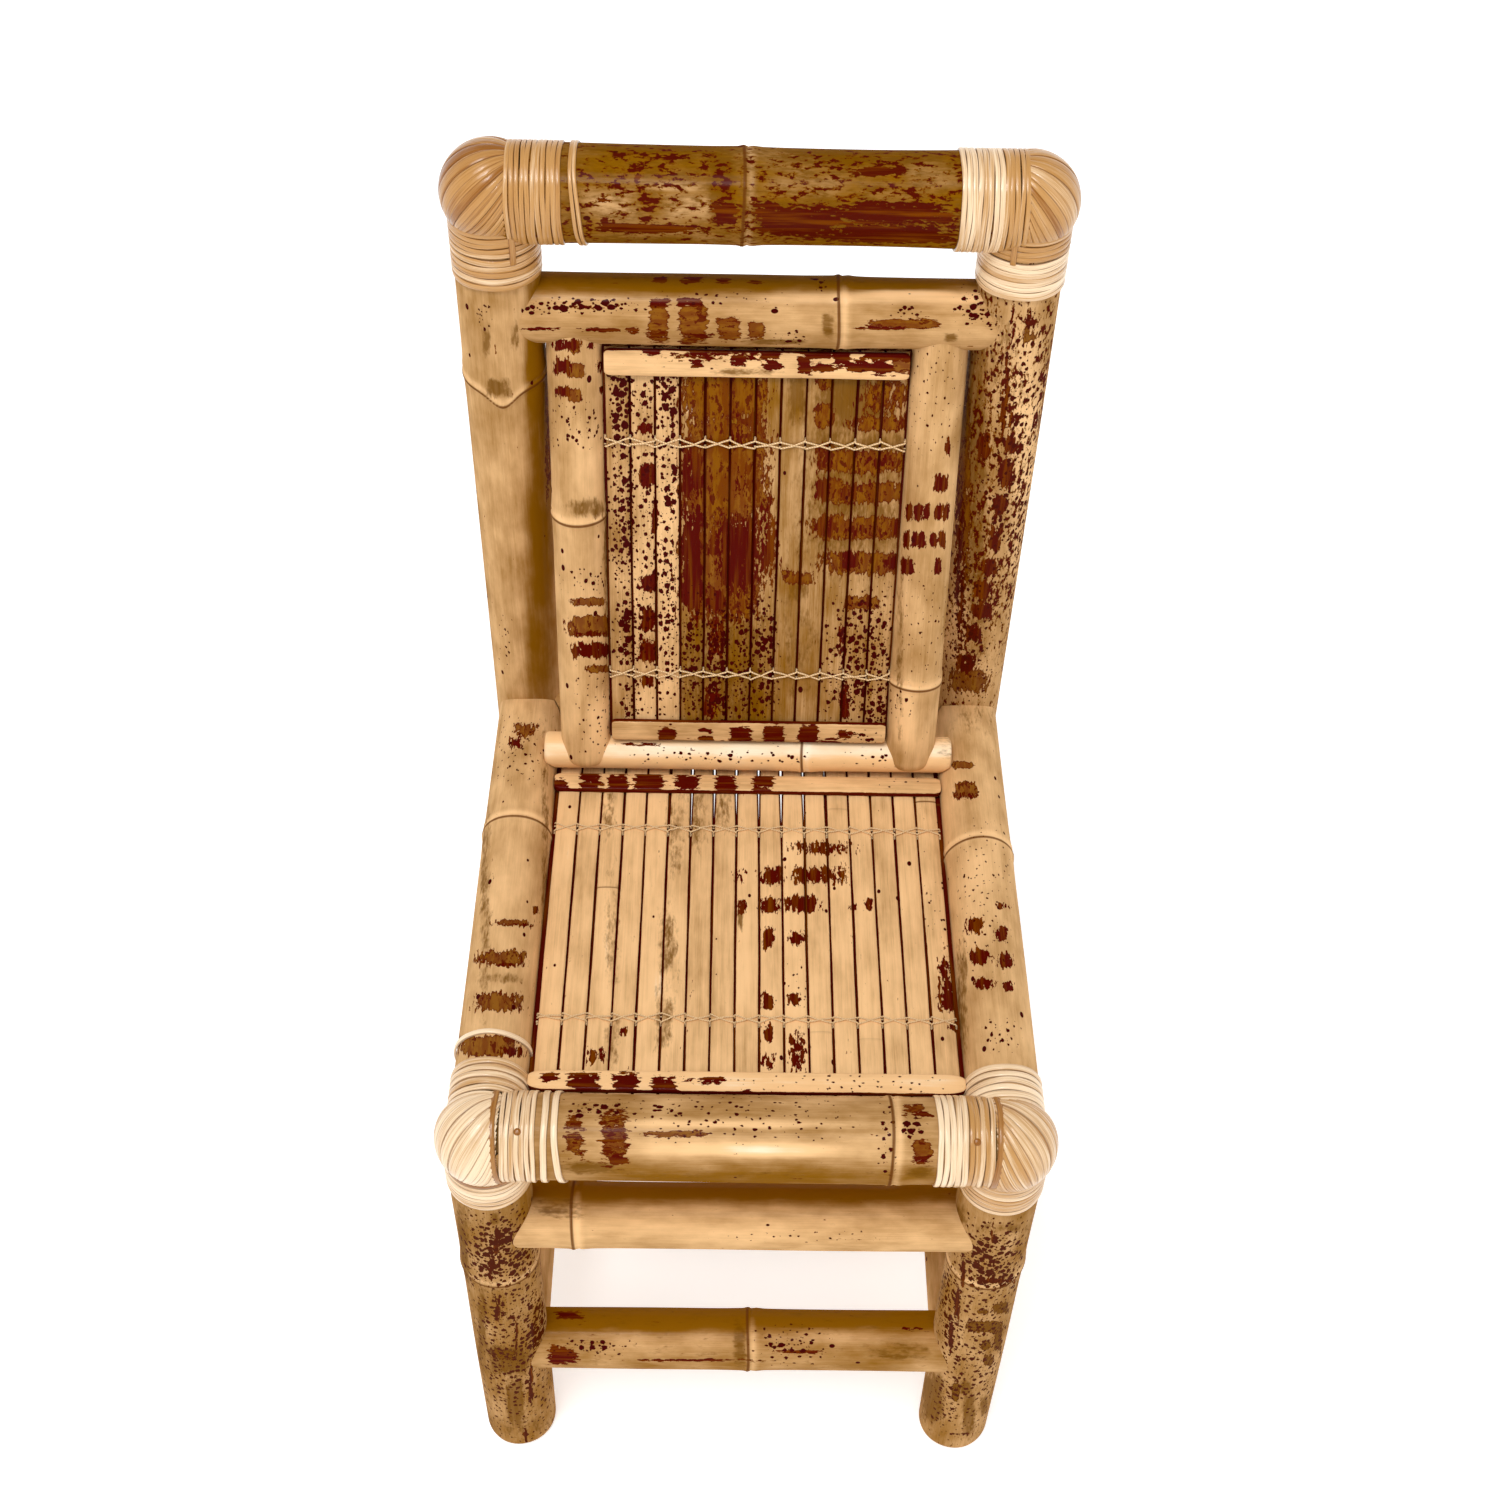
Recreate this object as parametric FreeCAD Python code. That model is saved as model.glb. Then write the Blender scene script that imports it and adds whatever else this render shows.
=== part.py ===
import FreeCAD, Part
import math
import os

from FreeCAD import Placement, Rotation, Vector

# Bamboo side chair: hollow culm poles coped onto each other and held by wooden
# dowels, two laced slat panels, and cane windings over the four open corners.
# Millimetres. Seen from the front, +X is to the right, +Y to the back and +Z up.

# Layout of the pole axes
leg_spacing = 370.0
leg_depth = 442.0
seat_rail_height = 429.0
top_rail_height = 914.0
upper_back_drop = 92.0
apron_drop = 104.0
front_stretcher_height = 136.0
side_stretcher_height = 94.0
rear_stretcher_height = 136.0
stile_inset = 52.0
lower_back_setback = 82.0

# Pole radii
leg_radius = 29.5
post_radius = 30.0
top_rail_radius = 33.0
front_rail_radius = 30.2
side_rail_radius = 27.0
rear_rail_radius = 28.0
upper_back_radius = 25.5
lower_back_radius = 15.0
stile_radius = 20.5
apron_radius = 24.5
front_stretcher_radius = 24.0
side_stretcher_radius = 25.0
rear_stretcher_radius = 24.0

# Culm walls and nodes
thick_wall = 7.0
slim_wall = 4.5
node_rise = 1.2
node_width = 9.0
node_flat = 3.0
node_wall = 5.0
foot_wall = 14.0
foot_round = 4.0
crown_wall = 18.0

# Places of the nodes: shares of an upright's height to its rail, and of the
# other poles' lengths from their first ends
left_post_nodes = [0.055, 0.372, 0.834]
right_post_nodes = [0.066, 0.383]
left_leg_nodes = [0.629]
right_leg_nodes = [0.643]
top_rail_nodes = [0.466]
upper_back_nodes = [0.662]
lower_back_nodes = [0.632]
front_rail_nodes = [0.787]
rear_rail_nodes = [0.330]
apron_nodes = [0.141]
front_stretcher_nodes = [0.517]
rear_stretcher_nodes = [0.443]
left_side_rail_nodes = [0.637]
right_side_rail_nodes = [0.599]
side_stretcher_nodes = [0.583]
left_stile_nodes = [0.592]
right_stile_nodes = [0.216]

# Joints
cope_gap = 0.3
mitre_gap = 0.4
end_trim = 9.0
stile_lip = 8.0
dowel_radius = 6.0
dowel_length = 48.0
dowel_clearance = 0.15
dowel_reach = 8.0
end_wall = 10.0
end_wall_inset = 2.0

# Slat panels
seat_slat_count = 17
back_slat_count = 12
slat_gap = 1.5
slat_thickness = 7.0
slat_crown = 1.2
seat_slat_level = 4.0
seat_slat_setback = 80.0
back_slat_lift = 6.5
panel_gap = 0.3
strip_thickness = 5.5
strip_crown = 0.8
strip_gap = 0.2
front_strip_width = 17.0
rear_strip_width = 17.5
back_top_strip_width = 20.0
back_bottom_strip_width = 18.0
back_strip_gap = 1.0
lower_back_lift = 1.6

# Battens behind the panels and the lacing round them. The back's rows are
# shares of its length.
seat_batten_radius = 9.0
back_batten_radius = 7.0
batten_gap = 0.2
batten_clearance = 0.2
batten_seat = 10.0
seat_front_row = 101.0
seat_rear_row_setback = 153.0
back_lower_row = 0.207
back_upper_row = 0.734
lace_diameter = 1.0
lace_bend = 1.2
lace_gap = 0.3
lace_strand_gap = 0.45

# Cane windings at the corners
cane_diameter = 3.2
cane_pitch = 3.7
wrap_gap = 0.3
cap_crown = 0.6
top_rail_turns = 8
post_turns = 6
front_rail_turns = 7
side_rail_turns = 8
leg_turns = 5

# Derived places
half_spacing = leg_spacing / 2
half_stiles = half_spacing - stile_inset
upper_back_height = top_rail_height - upper_back_drop
apron_height = seat_rail_height - apron_drop
front_reach = max(leg_radius, front_rail_radius, side_rail_radius) + wrap_gap + cane_diameter + cap_crown
rear_reach = max(post_radius, top_rail_radius) + wrap_gap + cane_diameter + cap_crown
front_y = -(leg_depth + rear_reach - front_reach) / 2
rear_y = front_y + leg_depth
seat_top = seat_rail_height + seat_slat_level
lower_back_y = rear_y - lower_back_setback
lower_back_height = seat_top + lower_back_radius + lower_back_lift
back_rise = upper_back_height - lower_back_height
back_length = math.hypot(lower_back_setback, back_rise)
back_tilt = math.degrees(math.atan2(back_rise, lower_back_setback))
seat_plane = Placement(Vector(0, front_y, seat_rail_height), Rotation())
back_plane = Placement(Vector(0, lower_back_y, lower_back_height), Rotation(Vector(1, 0, 0), back_tilt))
side_names = {-1: "left", 1: "right"}
along_x = Vector(1, 0, 0)
along_y = Vector(0, 1, 0)
along_z = Vector(0, 0, 1)
cutter_reach = 2 * top_rail_height


def rod(start, direction, length, radius):
    return Part.makeCylinder(radius, length, start, direction)


def joined_spans(spans):
    # Spans in order, with those that touch or overlap made one.
    joined = []
    for low, high in sorted(spans):
        if joined and low <= joined[-1][1]:
            joined[-1] = (joined[-1][0], max(high, joined[-1][1]))
        else:
            joined.append((low, high))
    return joined


def culm(start, end, radius, wall, nodes, end_walls, foot=False, crown=False):
    # A hollow culm as one revolved profile: its outline swells at each node,
    # where a pierced wall crosses the bore. A foot or crown end is closed.
    axis = end - start
    length = axis.Length
    bore = radius - wall
    pierced = dowel_radius + dowel_clearance
    outline = []
    edges = []
    top_of_side = length - radius if crown else length
    if foot:
        outline += [(0, 0), (radius - foot_round, 0), (radius, foot_round)]
    else:
        outline += [(bore, 0), (radius, 0)]
    for place in sorted(nodes):
        outline.append((radius, place - node_width / 2))
        outline.append((radius + node_rise, place - node_flat / 2))
        outline.append((radius + node_rise, place + node_flat / 2))
        outline.append((radius, place + node_width / 2))
    outline.append((radius, top_of_side))
    inside = []
    if crown:
        inside += [(0, length - crown_wall), (bore, length - crown_wall)]
    else:
        inside += [(bore, length)]
    spans = [(place - node_wall / 2, place + node_wall / 2) for place in nodes]
    spans += [(place - end_wall / 2, place + end_wall / 2) for place in end_walls]
    for low, high in reversed(joined_spans(spans)):
        inside.append((bore, high))
        inside.append((pierced, high))
        inside.append((pierced, low))
        inside.append((bore, low))
    if foot:
        inside += [(bore, foot_wall), (0, foot_wall)]
    points = [Vector(r, 0, z) for r, z in outline]
    for first, second in zip(points, points[1:]):
        edges.append(Part.LineSegment(first, second).toShape())
    inner = [Vector(r, 0, z) for r, z in inside]
    if crown:
        tip = Vector(0, 0, length)
        half = radius * math.sqrt(0.5)
        bulge = Vector(half, 0, top_of_side + half)
        edges.append(Part.Arc(points[-1], bulge, tip).toShape())
        inner.insert(0, tip)
    else:
        inner.insert(0, points[-1])
    inner.append(points[0])
    for first, second in zip(inner, inner[1:]):
        if first.distanceToPoint(second) > cope_gap / 2:
            edges.append(Part.LineSegment(first, second).toShape())
    profile = Part.Face(Part.Wire(Part.__sortEdges__(edges)))
    solid = profile.revolve(Vector(0, 0, 0), along_z, 360)
    solid.Placement = Placement(start, Rotation(along_z, axis))
    return solid


def bisector_cutter(corner, keep, other):
    # Removes what lies past the upright plane that halves the corner.
    normal = (keep - other).normalize()
    block = Part.makeBox(cutter_reach, 2 * cutter_reach, 2 * cutter_reach)
    block.translate(Vector(mitre_gap / 2 - cutter_reach, -cutter_reach, -cutter_reach))
    block.Placement = Placement(corner, Rotation(along_x, normal)).multiply(block.Placement)
    return block


class Pole:
    # A pole's axis, section and the joints that shape it.
    def __init__(self, start, end, radius, wall=thick_wall, nodes=(), foot=False, crown=False):
        self.start = start
        self.end = end
        self.radius = radius
        self.wall = wall
        self.foot = foot
        self.crown = crown
        self.nodes = list(nodes)
        self.end_walls = []
        self.cutters = []

    def direction(self):
        return (self.end - self.start).normalize()

    def solid(self):
        shape = culm(self.start, self.end, self.radius, self.wall, self.nodes, self.end_walls, self.foot, self.crown)
        if self.cutters:
            shape = shape.cut(self.cutters)
        return max(shape.Solids, key=lambda piece: piece.Volume)


poles = {}
dowels = []


def upright(name, x, y, height, radius, nodes):
    top = Vector(x, y, height + radius)
    places = [height * share for share in nodes]
    poles[name] = Pole(Vector(x, y, 0), top, radius, nodes=places, foot=True, crown=True)


def rail(name, first, second, radius, hosts, wall=thick_wall, nodes=(), first_trim=end_trim):
    # A pole between two host poles, coped round each and doweled to it. It
    # stops short of the hosts' axes, or runs past one if the trim is negative.
    direction = (second - first).normalize()
    start = first + direction * first_trim
    end = second - direction * end_trim
    length = (end - start).Length
    pole = Pole(start, end, radius, wall, [length * share for share in nodes])
    poles[name] = pole
    ends = ((first, direction, hosts[0], first_trim), (second, -direction, hosts[1], end_trim))
    for crossing, inward, host_name, trim in ends:
        host = poles[host_name]
        along = host.direction()
        cope_start = crossing - along * cutter_reach
        pole.cutters.append(rod(cope_start, along, 2 * cutter_reach, host.radius + cope_gap))
        add_dowel(pole, host, crossing, inward, trim)


def add_dowel(pole, host, crossing, inward, trim):
    # The dowel starts in the host's bore, passes its wall and ends in the
    # pierced wall near the end of the joined pole.
    begin = host.radius - host.wall - dowel_reach
    finish = begin + dowel_length
    dowels.append(rod(crossing + inward * begin, inward, dowel_length, dowel_radius))
    hole_start = crossing + inward * begin
    host.cutters.append(rod(hole_start, inward, dowel_reach + 2 * host.wall, dowel_radius + dowel_clearance))
    wall_middle = finish - end_wall_inset - end_wall / 2 - trim
    if inward.dot(pole.direction()) > 0:
        pole.end_walls.append(wall_middle)
    else:
        pole.end_walls.append((pole.end - pole.start).Length - wall_middle)


def frame_poles():
    for side, post_nodes, leg_nodes in ((-1, left_post_nodes, left_leg_nodes), (1, right_post_nodes, right_leg_nodes)):
        x = side * half_spacing
        upright("rear_post_" + side_names[side], x, rear_y, top_rail_height, post_radius, post_nodes)
        upright("front_leg_" + side_names[side], x, front_y, seat_rail_height, leg_radius, leg_nodes)


def cross_rail(name, y, z, radius, hosts, nodes):
    rail(name, Vector(-half_spacing, y, z), Vector(half_spacing, y, z), radius, hosts, nodes=nodes)


def rails_between_uprights():
    posts = ("rear_post_left", "rear_post_right")
    legs = ("front_leg_left", "front_leg_right")
    cross_rail("top_rail", rear_y, top_rail_height, top_rail_radius, posts, top_rail_nodes)
    cross_rail("upper_back_rail", rear_y, upper_back_height, upper_back_radius, posts, upper_back_nodes)
    cross_rail("seat_rear_rail", rear_y, seat_rail_height, rear_rail_radius, posts, rear_rail_nodes)
    cross_rail("rear_stretcher", rear_y, rear_stretcher_height, rear_stretcher_radius, posts, rear_stretcher_nodes)
    cross_rail("seat_front_rail", front_y, seat_rail_height, front_rail_radius, legs, front_rail_nodes)
    cross_rail("front_apron_rail", front_y, apron_height, apron_radius, legs, apron_nodes)
    cross_rail("front_stretcher", front_y, front_stretcher_height, front_stretcher_radius, legs, front_stretcher_nodes)
    for side, rail_nodes in ((-1, left_side_rail_nodes), (1, right_side_rail_nodes)):
        label = side_names[side]
        hosts = ("front_leg_" + label, "rear_post_" + label)
        x = side * half_spacing
        front = Vector(x, front_y, seat_rail_height)
        rear = Vector(x, rear_y, seat_rail_height)
        rail("seat_side_rail_" + label, front, rear, side_rail_radius, hosts, nodes=rail_nodes)
        lower_front = Vector(x, front_y, side_stretcher_height)
        lower_rear = Vector(x, rear_y, side_stretcher_height)
        stretcher = "side_stretcher_" + label
        rail(stretcher, lower_front, lower_rear, side_stretcher_radius, hosts, nodes=side_stretcher_nodes)
        mitre(front, "seat_front_rail", Vector(-side, 0, 0), "seat_side_rail_" + label, along_y)
        mitre(rear, "seat_rear_rail", Vector(-side, 0, 0), "seat_side_rail_" + label, -along_y)


def mitre(corner, first_name, first_way, second_name, second_way):
    poles[first_name].cutters.append(bisector_cutter(corner, first_way, second_way))
    poles[second_name].cutters.append(bisector_cutter(corner, second_way, first_way))


def back_frame():
    # The lower back rail sits over the seat's side rails, and the stiles lean
    # from it to the upper back rail.
    left = Vector(-half_spacing, lower_back_y, lower_back_height)
    right = Vector(half_spacing, lower_back_y, lower_back_height)
    pole = Pole(left + along_x * 2 * end_trim, right - along_x * 2 * end_trim, lower_back_radius, slim_wall)
    length = (pole.end - pole.start).Length
    pole.nodes = [length * share for share in lower_back_nodes]
    for side in side_names:
        saddle = Vector(side * half_spacing, front_y, seat_rail_height)
        pole.cutters.append(rod(saddle, along_y, leg_depth, side_rail_radius + cope_gap))
    poles["lower_back_rail"] = pole
    for side, nodes in ((-1, left_stile_nodes), (1, right_stile_nodes)):
        low = Vector(side * half_stiles, lower_back_y, lower_back_height)
        high = Vector(side * half_stiles, rear_y, upper_back_height)
        hosts = ("lower_back_rail", "upper_back_rail")
        rail("back_stile_" + side_names[side], low, high, stile_radius, hosts, slim_wall, nodes, -stile_lip)


def crowned_bar(width, length, thickness, crown):
    # A split-bamboo strip along +Y with a flat underside at z = 0 and a gently
    # rounded face, centred on x = 0.
    half = width / 2
    shoulder = thickness - crown
    low_left = Vector(-half, 0, 0)
    low_right = Vector(half, 0, 0)
    high_left = Vector(-half, 0, shoulder)
    high_right = Vector(half, 0, shoulder)
    face_arc = Part.Arc(high_right, Vector(0, 0, thickness), high_left).toShape()
    sides = [(low_left, low_right), (low_right, high_right), (high_left, low_left)]
    edges = [Part.LineSegment(first, second).toShape() for first, second in sides]
    section = Part.Face(Part.Wire(Part.__sortEdges__(edges + [face_arc])))
    return section.extrude(Vector(0, length, 0))


def slat_centres(count, half_field):
    pitch = (2 * half_field + slat_gap) / count
    return pitch, [-half_field + pitch * index + (pitch - slat_gap) / 2 for index in range(count)]


def slats(prefix, count, half_field, start, end, underside, plane):
    pitch, centres = slat_centres(count, half_field)
    pieces = {}
    for index, centre in enumerate(centres):
        bar = crowned_bar(pitch - slat_gap, end - start, slat_thickness, slat_crown)
        bar.translate(Vector(centre, start, underside))
        bar.Placement = plane.multiply(bar.Placement)
        pieces["%s_%02d" % (prefix, index + 1)] = bar
    return pieces


def cross_strip(half_length, near, width, underside, plane, cutters=()):
    bar = crowned_bar(width, 2 * half_length, strip_thickness, strip_crown)
    bar.rotate(Vector(0, 0, 0), along_z, -90)
    bar.translate(Vector(-half_length, near + width / 2, underside))
    bar.Placement = plane.multiply(bar.Placement)
    if cutters:
        bar = bar.cut(list(cutters))
    return max(bar.Solids, key=lambda piece: piece.Volume)


def batten(half_length, row, level, radius, plane):
    stick = rod(Vector(-half_length, row, level), along_x, 2 * half_length, radius)
    stick.Placement = plane.multiply(stick.Placement)
    return stick


def rounded_path(points, bend):
    # Straight runs joined by tangent arcs of one radius.
    edges = []
    current = points[0]
    for before, corner, after in zip(points, points[1:], points[2:]):
        arrive = (corner - before).normalize()
        leave = (after - corner).normalize()
        turn = arrive.getAngle(leave)
        setback = bend * math.tan(turn / 2)
        first = corner - arrive * setback
        last = corner + leave * setback
        inward = (leave - arrive).normalize()
        middle = corner + inward * (bend / math.cos(turn / 2) - bend)
        edges.append(Part.LineSegment(current, first).toShape())
        edges.append(Part.Arc(first, middle, last).toShape())
        current = last
    edges.append(Part.LineSegment(current, points[-1]).toShape())
    return edges


def tube(edges, diameter, label):
    # Sweeps a round section along the path and prints its volume against
    # section times length.
    path = Part.Wire(edges)
    first = edges[0]
    start = first.valueAt(first.FirstParameter)
    heading = first.tangentAt(first.FirstParameter)
    circle = Part.Wire([Part.Circle(start, heading, diameter / 2).toShape()])
    sweep = Part.BRepOffsetAPI.MakePipeShell(path)
    sweep.add(circle)
    sweep.build()
    sweep.makeSolid()
    solid = sweep.shape()
    expected = math.pi * diameter ** 2 / 4 * path.Length
    print("%s: volume %.1f of %.1f expected, valid %s" % (label, solid.Volume, expected, solid.isValid()))
    return solid


def self_gap(edges, diameter, label):
    # Least gap between stretches of the path that are not next to each other,
    # measured on points spaced half a diameter apart.
    points = []
    travelled = []
    total = 0.0
    for edge in edges:
        count = max(2, int(edge.Length / (diameter / 2)))
        for point in edge.discretize(Number=count)[:-1]:
            points.append(point)
            travelled.append(total)
            total += edge.Length / (count - 1)
    least = total
    cells = {}
    size = 4 * diameter
    apart = 6 * diameter
    for index, point in enumerate(points):
        cell = (int(point.x // size), int(point.y // size), int(point.z // size))
        for dx in (-1, 0, 1):
            for dy in (-1, 0, 1):
                for dz in (-1, 0, 1):
                    for other in cells.get((cell[0] + dx, cell[1] + dy, cell[2] + dz), ()):
                        if travelled[index] - travelled[other] > apart:
                            least = min(least, point.distanceToPoint(points[other]))
        cells.setdefault(cell, []).append(index)
    print("%s: least gap to itself %.2f" % (label, least - diameter))


def lacing_strand(count, half_field, row, half_height, front, rear, mirrored, plane, label):
    # One cord along a row: over each slat on a slant, through the gap beside
    # it, round the batten behind and back up through the same gap.
    pitch, centres = slat_centres(count, half_field)
    gaps = [centre - pitch / 2 for centre in centres] + [centres[-1] + pitch / 2]
    if mirrored:
        gaps = gaps[::-1]
    points = [Vector(gaps[0], row + half_height, rear), Vector(gaps[0], row - half_height, rear)]
    for here, there in zip(gaps, gaps[1:]):
        points.append(Vector(here, row - half_height, front))
        points.append(Vector(there, row + half_height, front))
        points.append(Vector(there, row + half_height, rear))
        points.append(Vector(there, row - half_height, rear))
    edges = rounded_path(points, lace_bend)
    self_gap(edges, lace_diameter, label)
    cord = tube(edges, lace_diameter, label)
    cord.Placement = plane.multiply(cord.Placement)
    return cord


def lacing(count, half_field, rows, batten_radius, slat_top, batten_level, plane, label):
    cords = []
    strand_step = lace_diameter + lace_strand_gap
    for row_index, row in enumerate(rows):
        for strand in (0, 1):
            reach = batten_radius + lace_gap + lace_diameter / 2 + strand * strand_step
            front = slat_top + lace_gap + lace_diameter / 2 + strand * strand_step
            rear = batten_level - reach
            name = "%s row %d strand %d" % (label, row_index + 1, strand + 1)
            cords.append(lacing_strand(count, half_field, row, reach, front, rear, strand == 1, plane, name))
    return Part.makeCompound(cords)


def biarc(start, start_way, end, end_way):
    # Two tangent arcs from one point and direction to another.
    span = end - start
    ways = start_way + end_way
    fold = 2 * (1 - start_way.dot(end_way))
    along = span.dot(ways)
    reach = (math.sqrt(along * along + fold * span.dot(span)) - along) / fold
    joint = (start + start_way * reach + end - end_way * reach) * 0.5
    first = Part.Arc(start, arc_middle(start, start_way, joint), joint)
    second = Part.Arc(joint, arc_middle(end, -end_way, joint), end)
    return [first.toShape(), second.toShape()]


def arc_middle(start, way, end):
    # Middle of the arc that leaves start along way and reaches end.
    chord = end - start
    half = chord.Length / 2
    straight = Vector(chord).normalize()
    swing = way.getAngle(straight)
    aside = (way - straight * way.dot(straight)).normalize()
    return (start + end) * 0.5 + aside * (half * math.tan(swing / 2))


def winding(corner, way, zero, first, turns, pole_radius, label):
    # Cane wound round a pole: a helix in half-turn biarcs, with straight ends.
    side = way.cross(zero)
    radius = pole_radius + wrap_gap + cane_diameter / 2
    rise = cane_pitch / (2 * math.pi)
    points = []
    ways = []
    for step in range(2 * turns + 1):
        angle = math.pi * step
        out = zero * math.cos(angle) + side * math.sin(angle)
        onward = side * math.cos(angle) - zero * math.sin(angle)
        points.append(corner + way * (first + rise * angle) + out * radius)
        ways.append((onward * radius + way * rise).normalize())
    edges = [Part.LineSegment(points[0] - ways[0] * cane_diameter, points[0]).toShape()]
    for index in range(2 * turns):
        edges += biarc(points[index], ways[index], points[index + 1], ways[index + 1])
    edges.append(Part.LineSegment(points[-1], points[-1] + ways[-1] * cane_diameter).toShape())
    self_gap(edges, cane_diameter, label)
    return tube(edges, cane_diameter, label)


def corner_wrap(corner, arms, dome_radius, label):
    # Cane laid over a corner as one skin, and a winding on each pole past it.
    # Each arm gives its direction, pole radius, turns and where the cane starts.
    # The windings start where the other poles' cane no longer stands in the way.
    skin_radius = max(arm[1] for arm in arms) + wrap_gap + cane_diameter + cap_crown
    skin = Part.makeSphere(skin_radius, corner)
    hollow = [Part.makeSphere(dome_radius + wrap_gap, corner)]
    windings = []
    for way, radius, turns, zero in arms:
        skin = skin.fuse(rod(corner, way, skin_radius, radius + wrap_gap + cane_diameter))
        hollow.append(rod(corner, way, 2 * skin_radius, radius + wrap_gap))
        first = skin_radius + wrap_gap + cane_diameter / 2
        windings.append(winding(corner, way, zero, first, turns, radius, label))
    skin = skin.cut(hollow)
    skin = max(skin.Solids, key=lambda piece: piece.Volume)
    return Part.makeCompound([skin] + windings)


def corner_wraps():
    pieces = {}
    for side in side_names:
        label = side_names[side]
        inward = Vector(-side, 0, 0)
        top_arms = [
            (inward, top_rail_radius, top_rail_turns, along_y),
            (-along_z, post_radius, post_turns, along_y),
        ]
        top_corner = Vector(side * half_spacing, rear_y, top_rail_height)
        name = "corner_wrap_top_" + label
        pieces[name] = corner_wrap(top_corner, top_arms, post_radius, name)
        front_arms = [
            (inward, front_rail_radius, front_rail_turns, -along_z),
            (along_y, side_rail_radius, side_rail_turns, -along_z),
            (-along_z, leg_radius, leg_turns, inward),
        ]
        front_corner = Vector(side * half_spacing, front_y, seat_rail_height)
        name = "corner_wrap_front_" + label
        pieces[name] = corner_wrap(front_corner, front_arms, leg_radius, name)
    return pieces


def seat_panel():
    side_ring = side_rail_radius + wrap_gap + cane_diameter
    front_ring = front_rail_radius + wrap_gap + cane_diameter
    half_field = half_spacing - side_ring
    underside = seat_slat_level - slat_thickness
    front_end = front_ring + panel_gap
    rear_end = leg_depth - seat_slat_setback
    pieces = slats("seat_slat", seat_slat_count, half_field, front_end, rear_end, underside, seat_plane)
    strip_under = seat_slat_level + strip_gap
    front_cutters = []
    rear_cutters = []
    for side in side_names:
        rail_start = Vector(side * half_spacing, front_y, seat_rail_height)
        front_cutters.append(rod(rail_start, along_y, leg_depth, side_ring + panel_gap))
        rear_cutters.append(rod(rail_start, along_y, leg_depth, side_rail_radius + panel_gap))
    rear_near = leg_depth - lower_back_setback - lower_back_radius - rear_strip_width
    front_strip = cross_strip(half_spacing, front_end, front_strip_width, strip_under, seat_plane, front_cutters)
    rear_strip = cross_strip(half_spacing, rear_near, rear_strip_width, strip_under, seat_plane, rear_cutters)
    pieces["seat_front_strip"] = front_strip
    pieces["seat_rear_strip"] = rear_strip
    level = underside - batten_gap - seat_batten_radius
    wall_face = math.sqrt(side_rail_radius ** 2 - level ** 2)
    half_length = half_spacing - wall_face + batten_seat
    rows = (seat_front_row, leg_depth - seat_rear_row_setback)
    sticks = [batten(half_length, row, level, seat_batten_radius, seat_plane) for row in rows]
    pieces["seat_battens"] = Part.makeCompound(sticks)
    for side in side_names:
        for row in rows:
            hole_radius = seat_batten_radius + batten_clearance
            hole = batten(half_length + batten_clearance, row, level, hole_radius, seat_plane)
            poles["seat_side_rail_" + side_names[side]].cutters.append(hole)
    pieces["seat_lacing"] = lacing(
        seat_slat_count, half_field, rows, seat_batten_radius, seat_slat_level, level, seat_plane, "seat lacing"
    )
    return pieces


def back_panel():
    half_field = half_stiles - stile_radius - node_rise - panel_gap
    underside = back_slat_lift - slat_thickness
    low_end = lower_back_radius + node_rise + panel_gap
    high_end = back_length - upper_back_radius - node_rise - panel_gap
    pieces = slats("back_slat", back_slat_count, half_field, low_end, high_end, underside, back_plane)
    strip_under = back_slat_lift + strip_gap
    top_near = high_end - back_top_strip_width
    bottom_near = low_end + back_strip_gap
    pieces["back_top_strip"] = cross_strip(half_field, top_near, back_top_strip_width, strip_under, back_plane)
    pieces["back_bottom_strip"] = cross_strip(
        half_field, bottom_near, back_bottom_strip_width, strip_under, back_plane
    )
    level = underside - batten_gap - back_batten_radius
    wall_face = math.sqrt(stile_radius ** 2 - level ** 2)
    half_length = half_stiles - wall_face + batten_seat
    rows = (back_length * back_lower_row, back_length * back_upper_row)
    sticks = [batten(half_length, row, level, back_batten_radius, back_plane) for row in rows]
    pieces["back_battens"] = Part.makeCompound(sticks)
    for side in side_names:
        for row in rows:
            hole_radius = back_batten_radius + batten_clearance
            hole = batten(half_length + batten_clearance, row, level, hole_radius, back_plane)
            poles["back_stile_" + side_names[side]].cutters.append(hole)
    pieces["back_lacing"] = lacing(
        back_slat_count, half_field, rows, back_batten_radius, back_slat_lift, level, back_plane, "back lacing"
    )
    return pieces


def build():
    frame_poles()
    rails_between_uprights()
    back_frame()
    pieces = {}
    pieces.update(seat_panel())
    pieces.update(back_panel())
    pieces.update(corner_wraps())
    for name, pole in poles.items():
        pieces[name] = pole.solid()
    pieces["joint_dowels"] = Part.makeCompound(dowels)
    return pieces


os.makedirs("parts", exist_ok=True)
for name, shape in sorted(build().items()):
    if not shape.isValid():
        print("not valid:", name)
    shape.exportStep("parts/" + name + ".step")
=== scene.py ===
import math

import bpy
import numpy as np
from mathutils import Matrix, Vector


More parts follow.
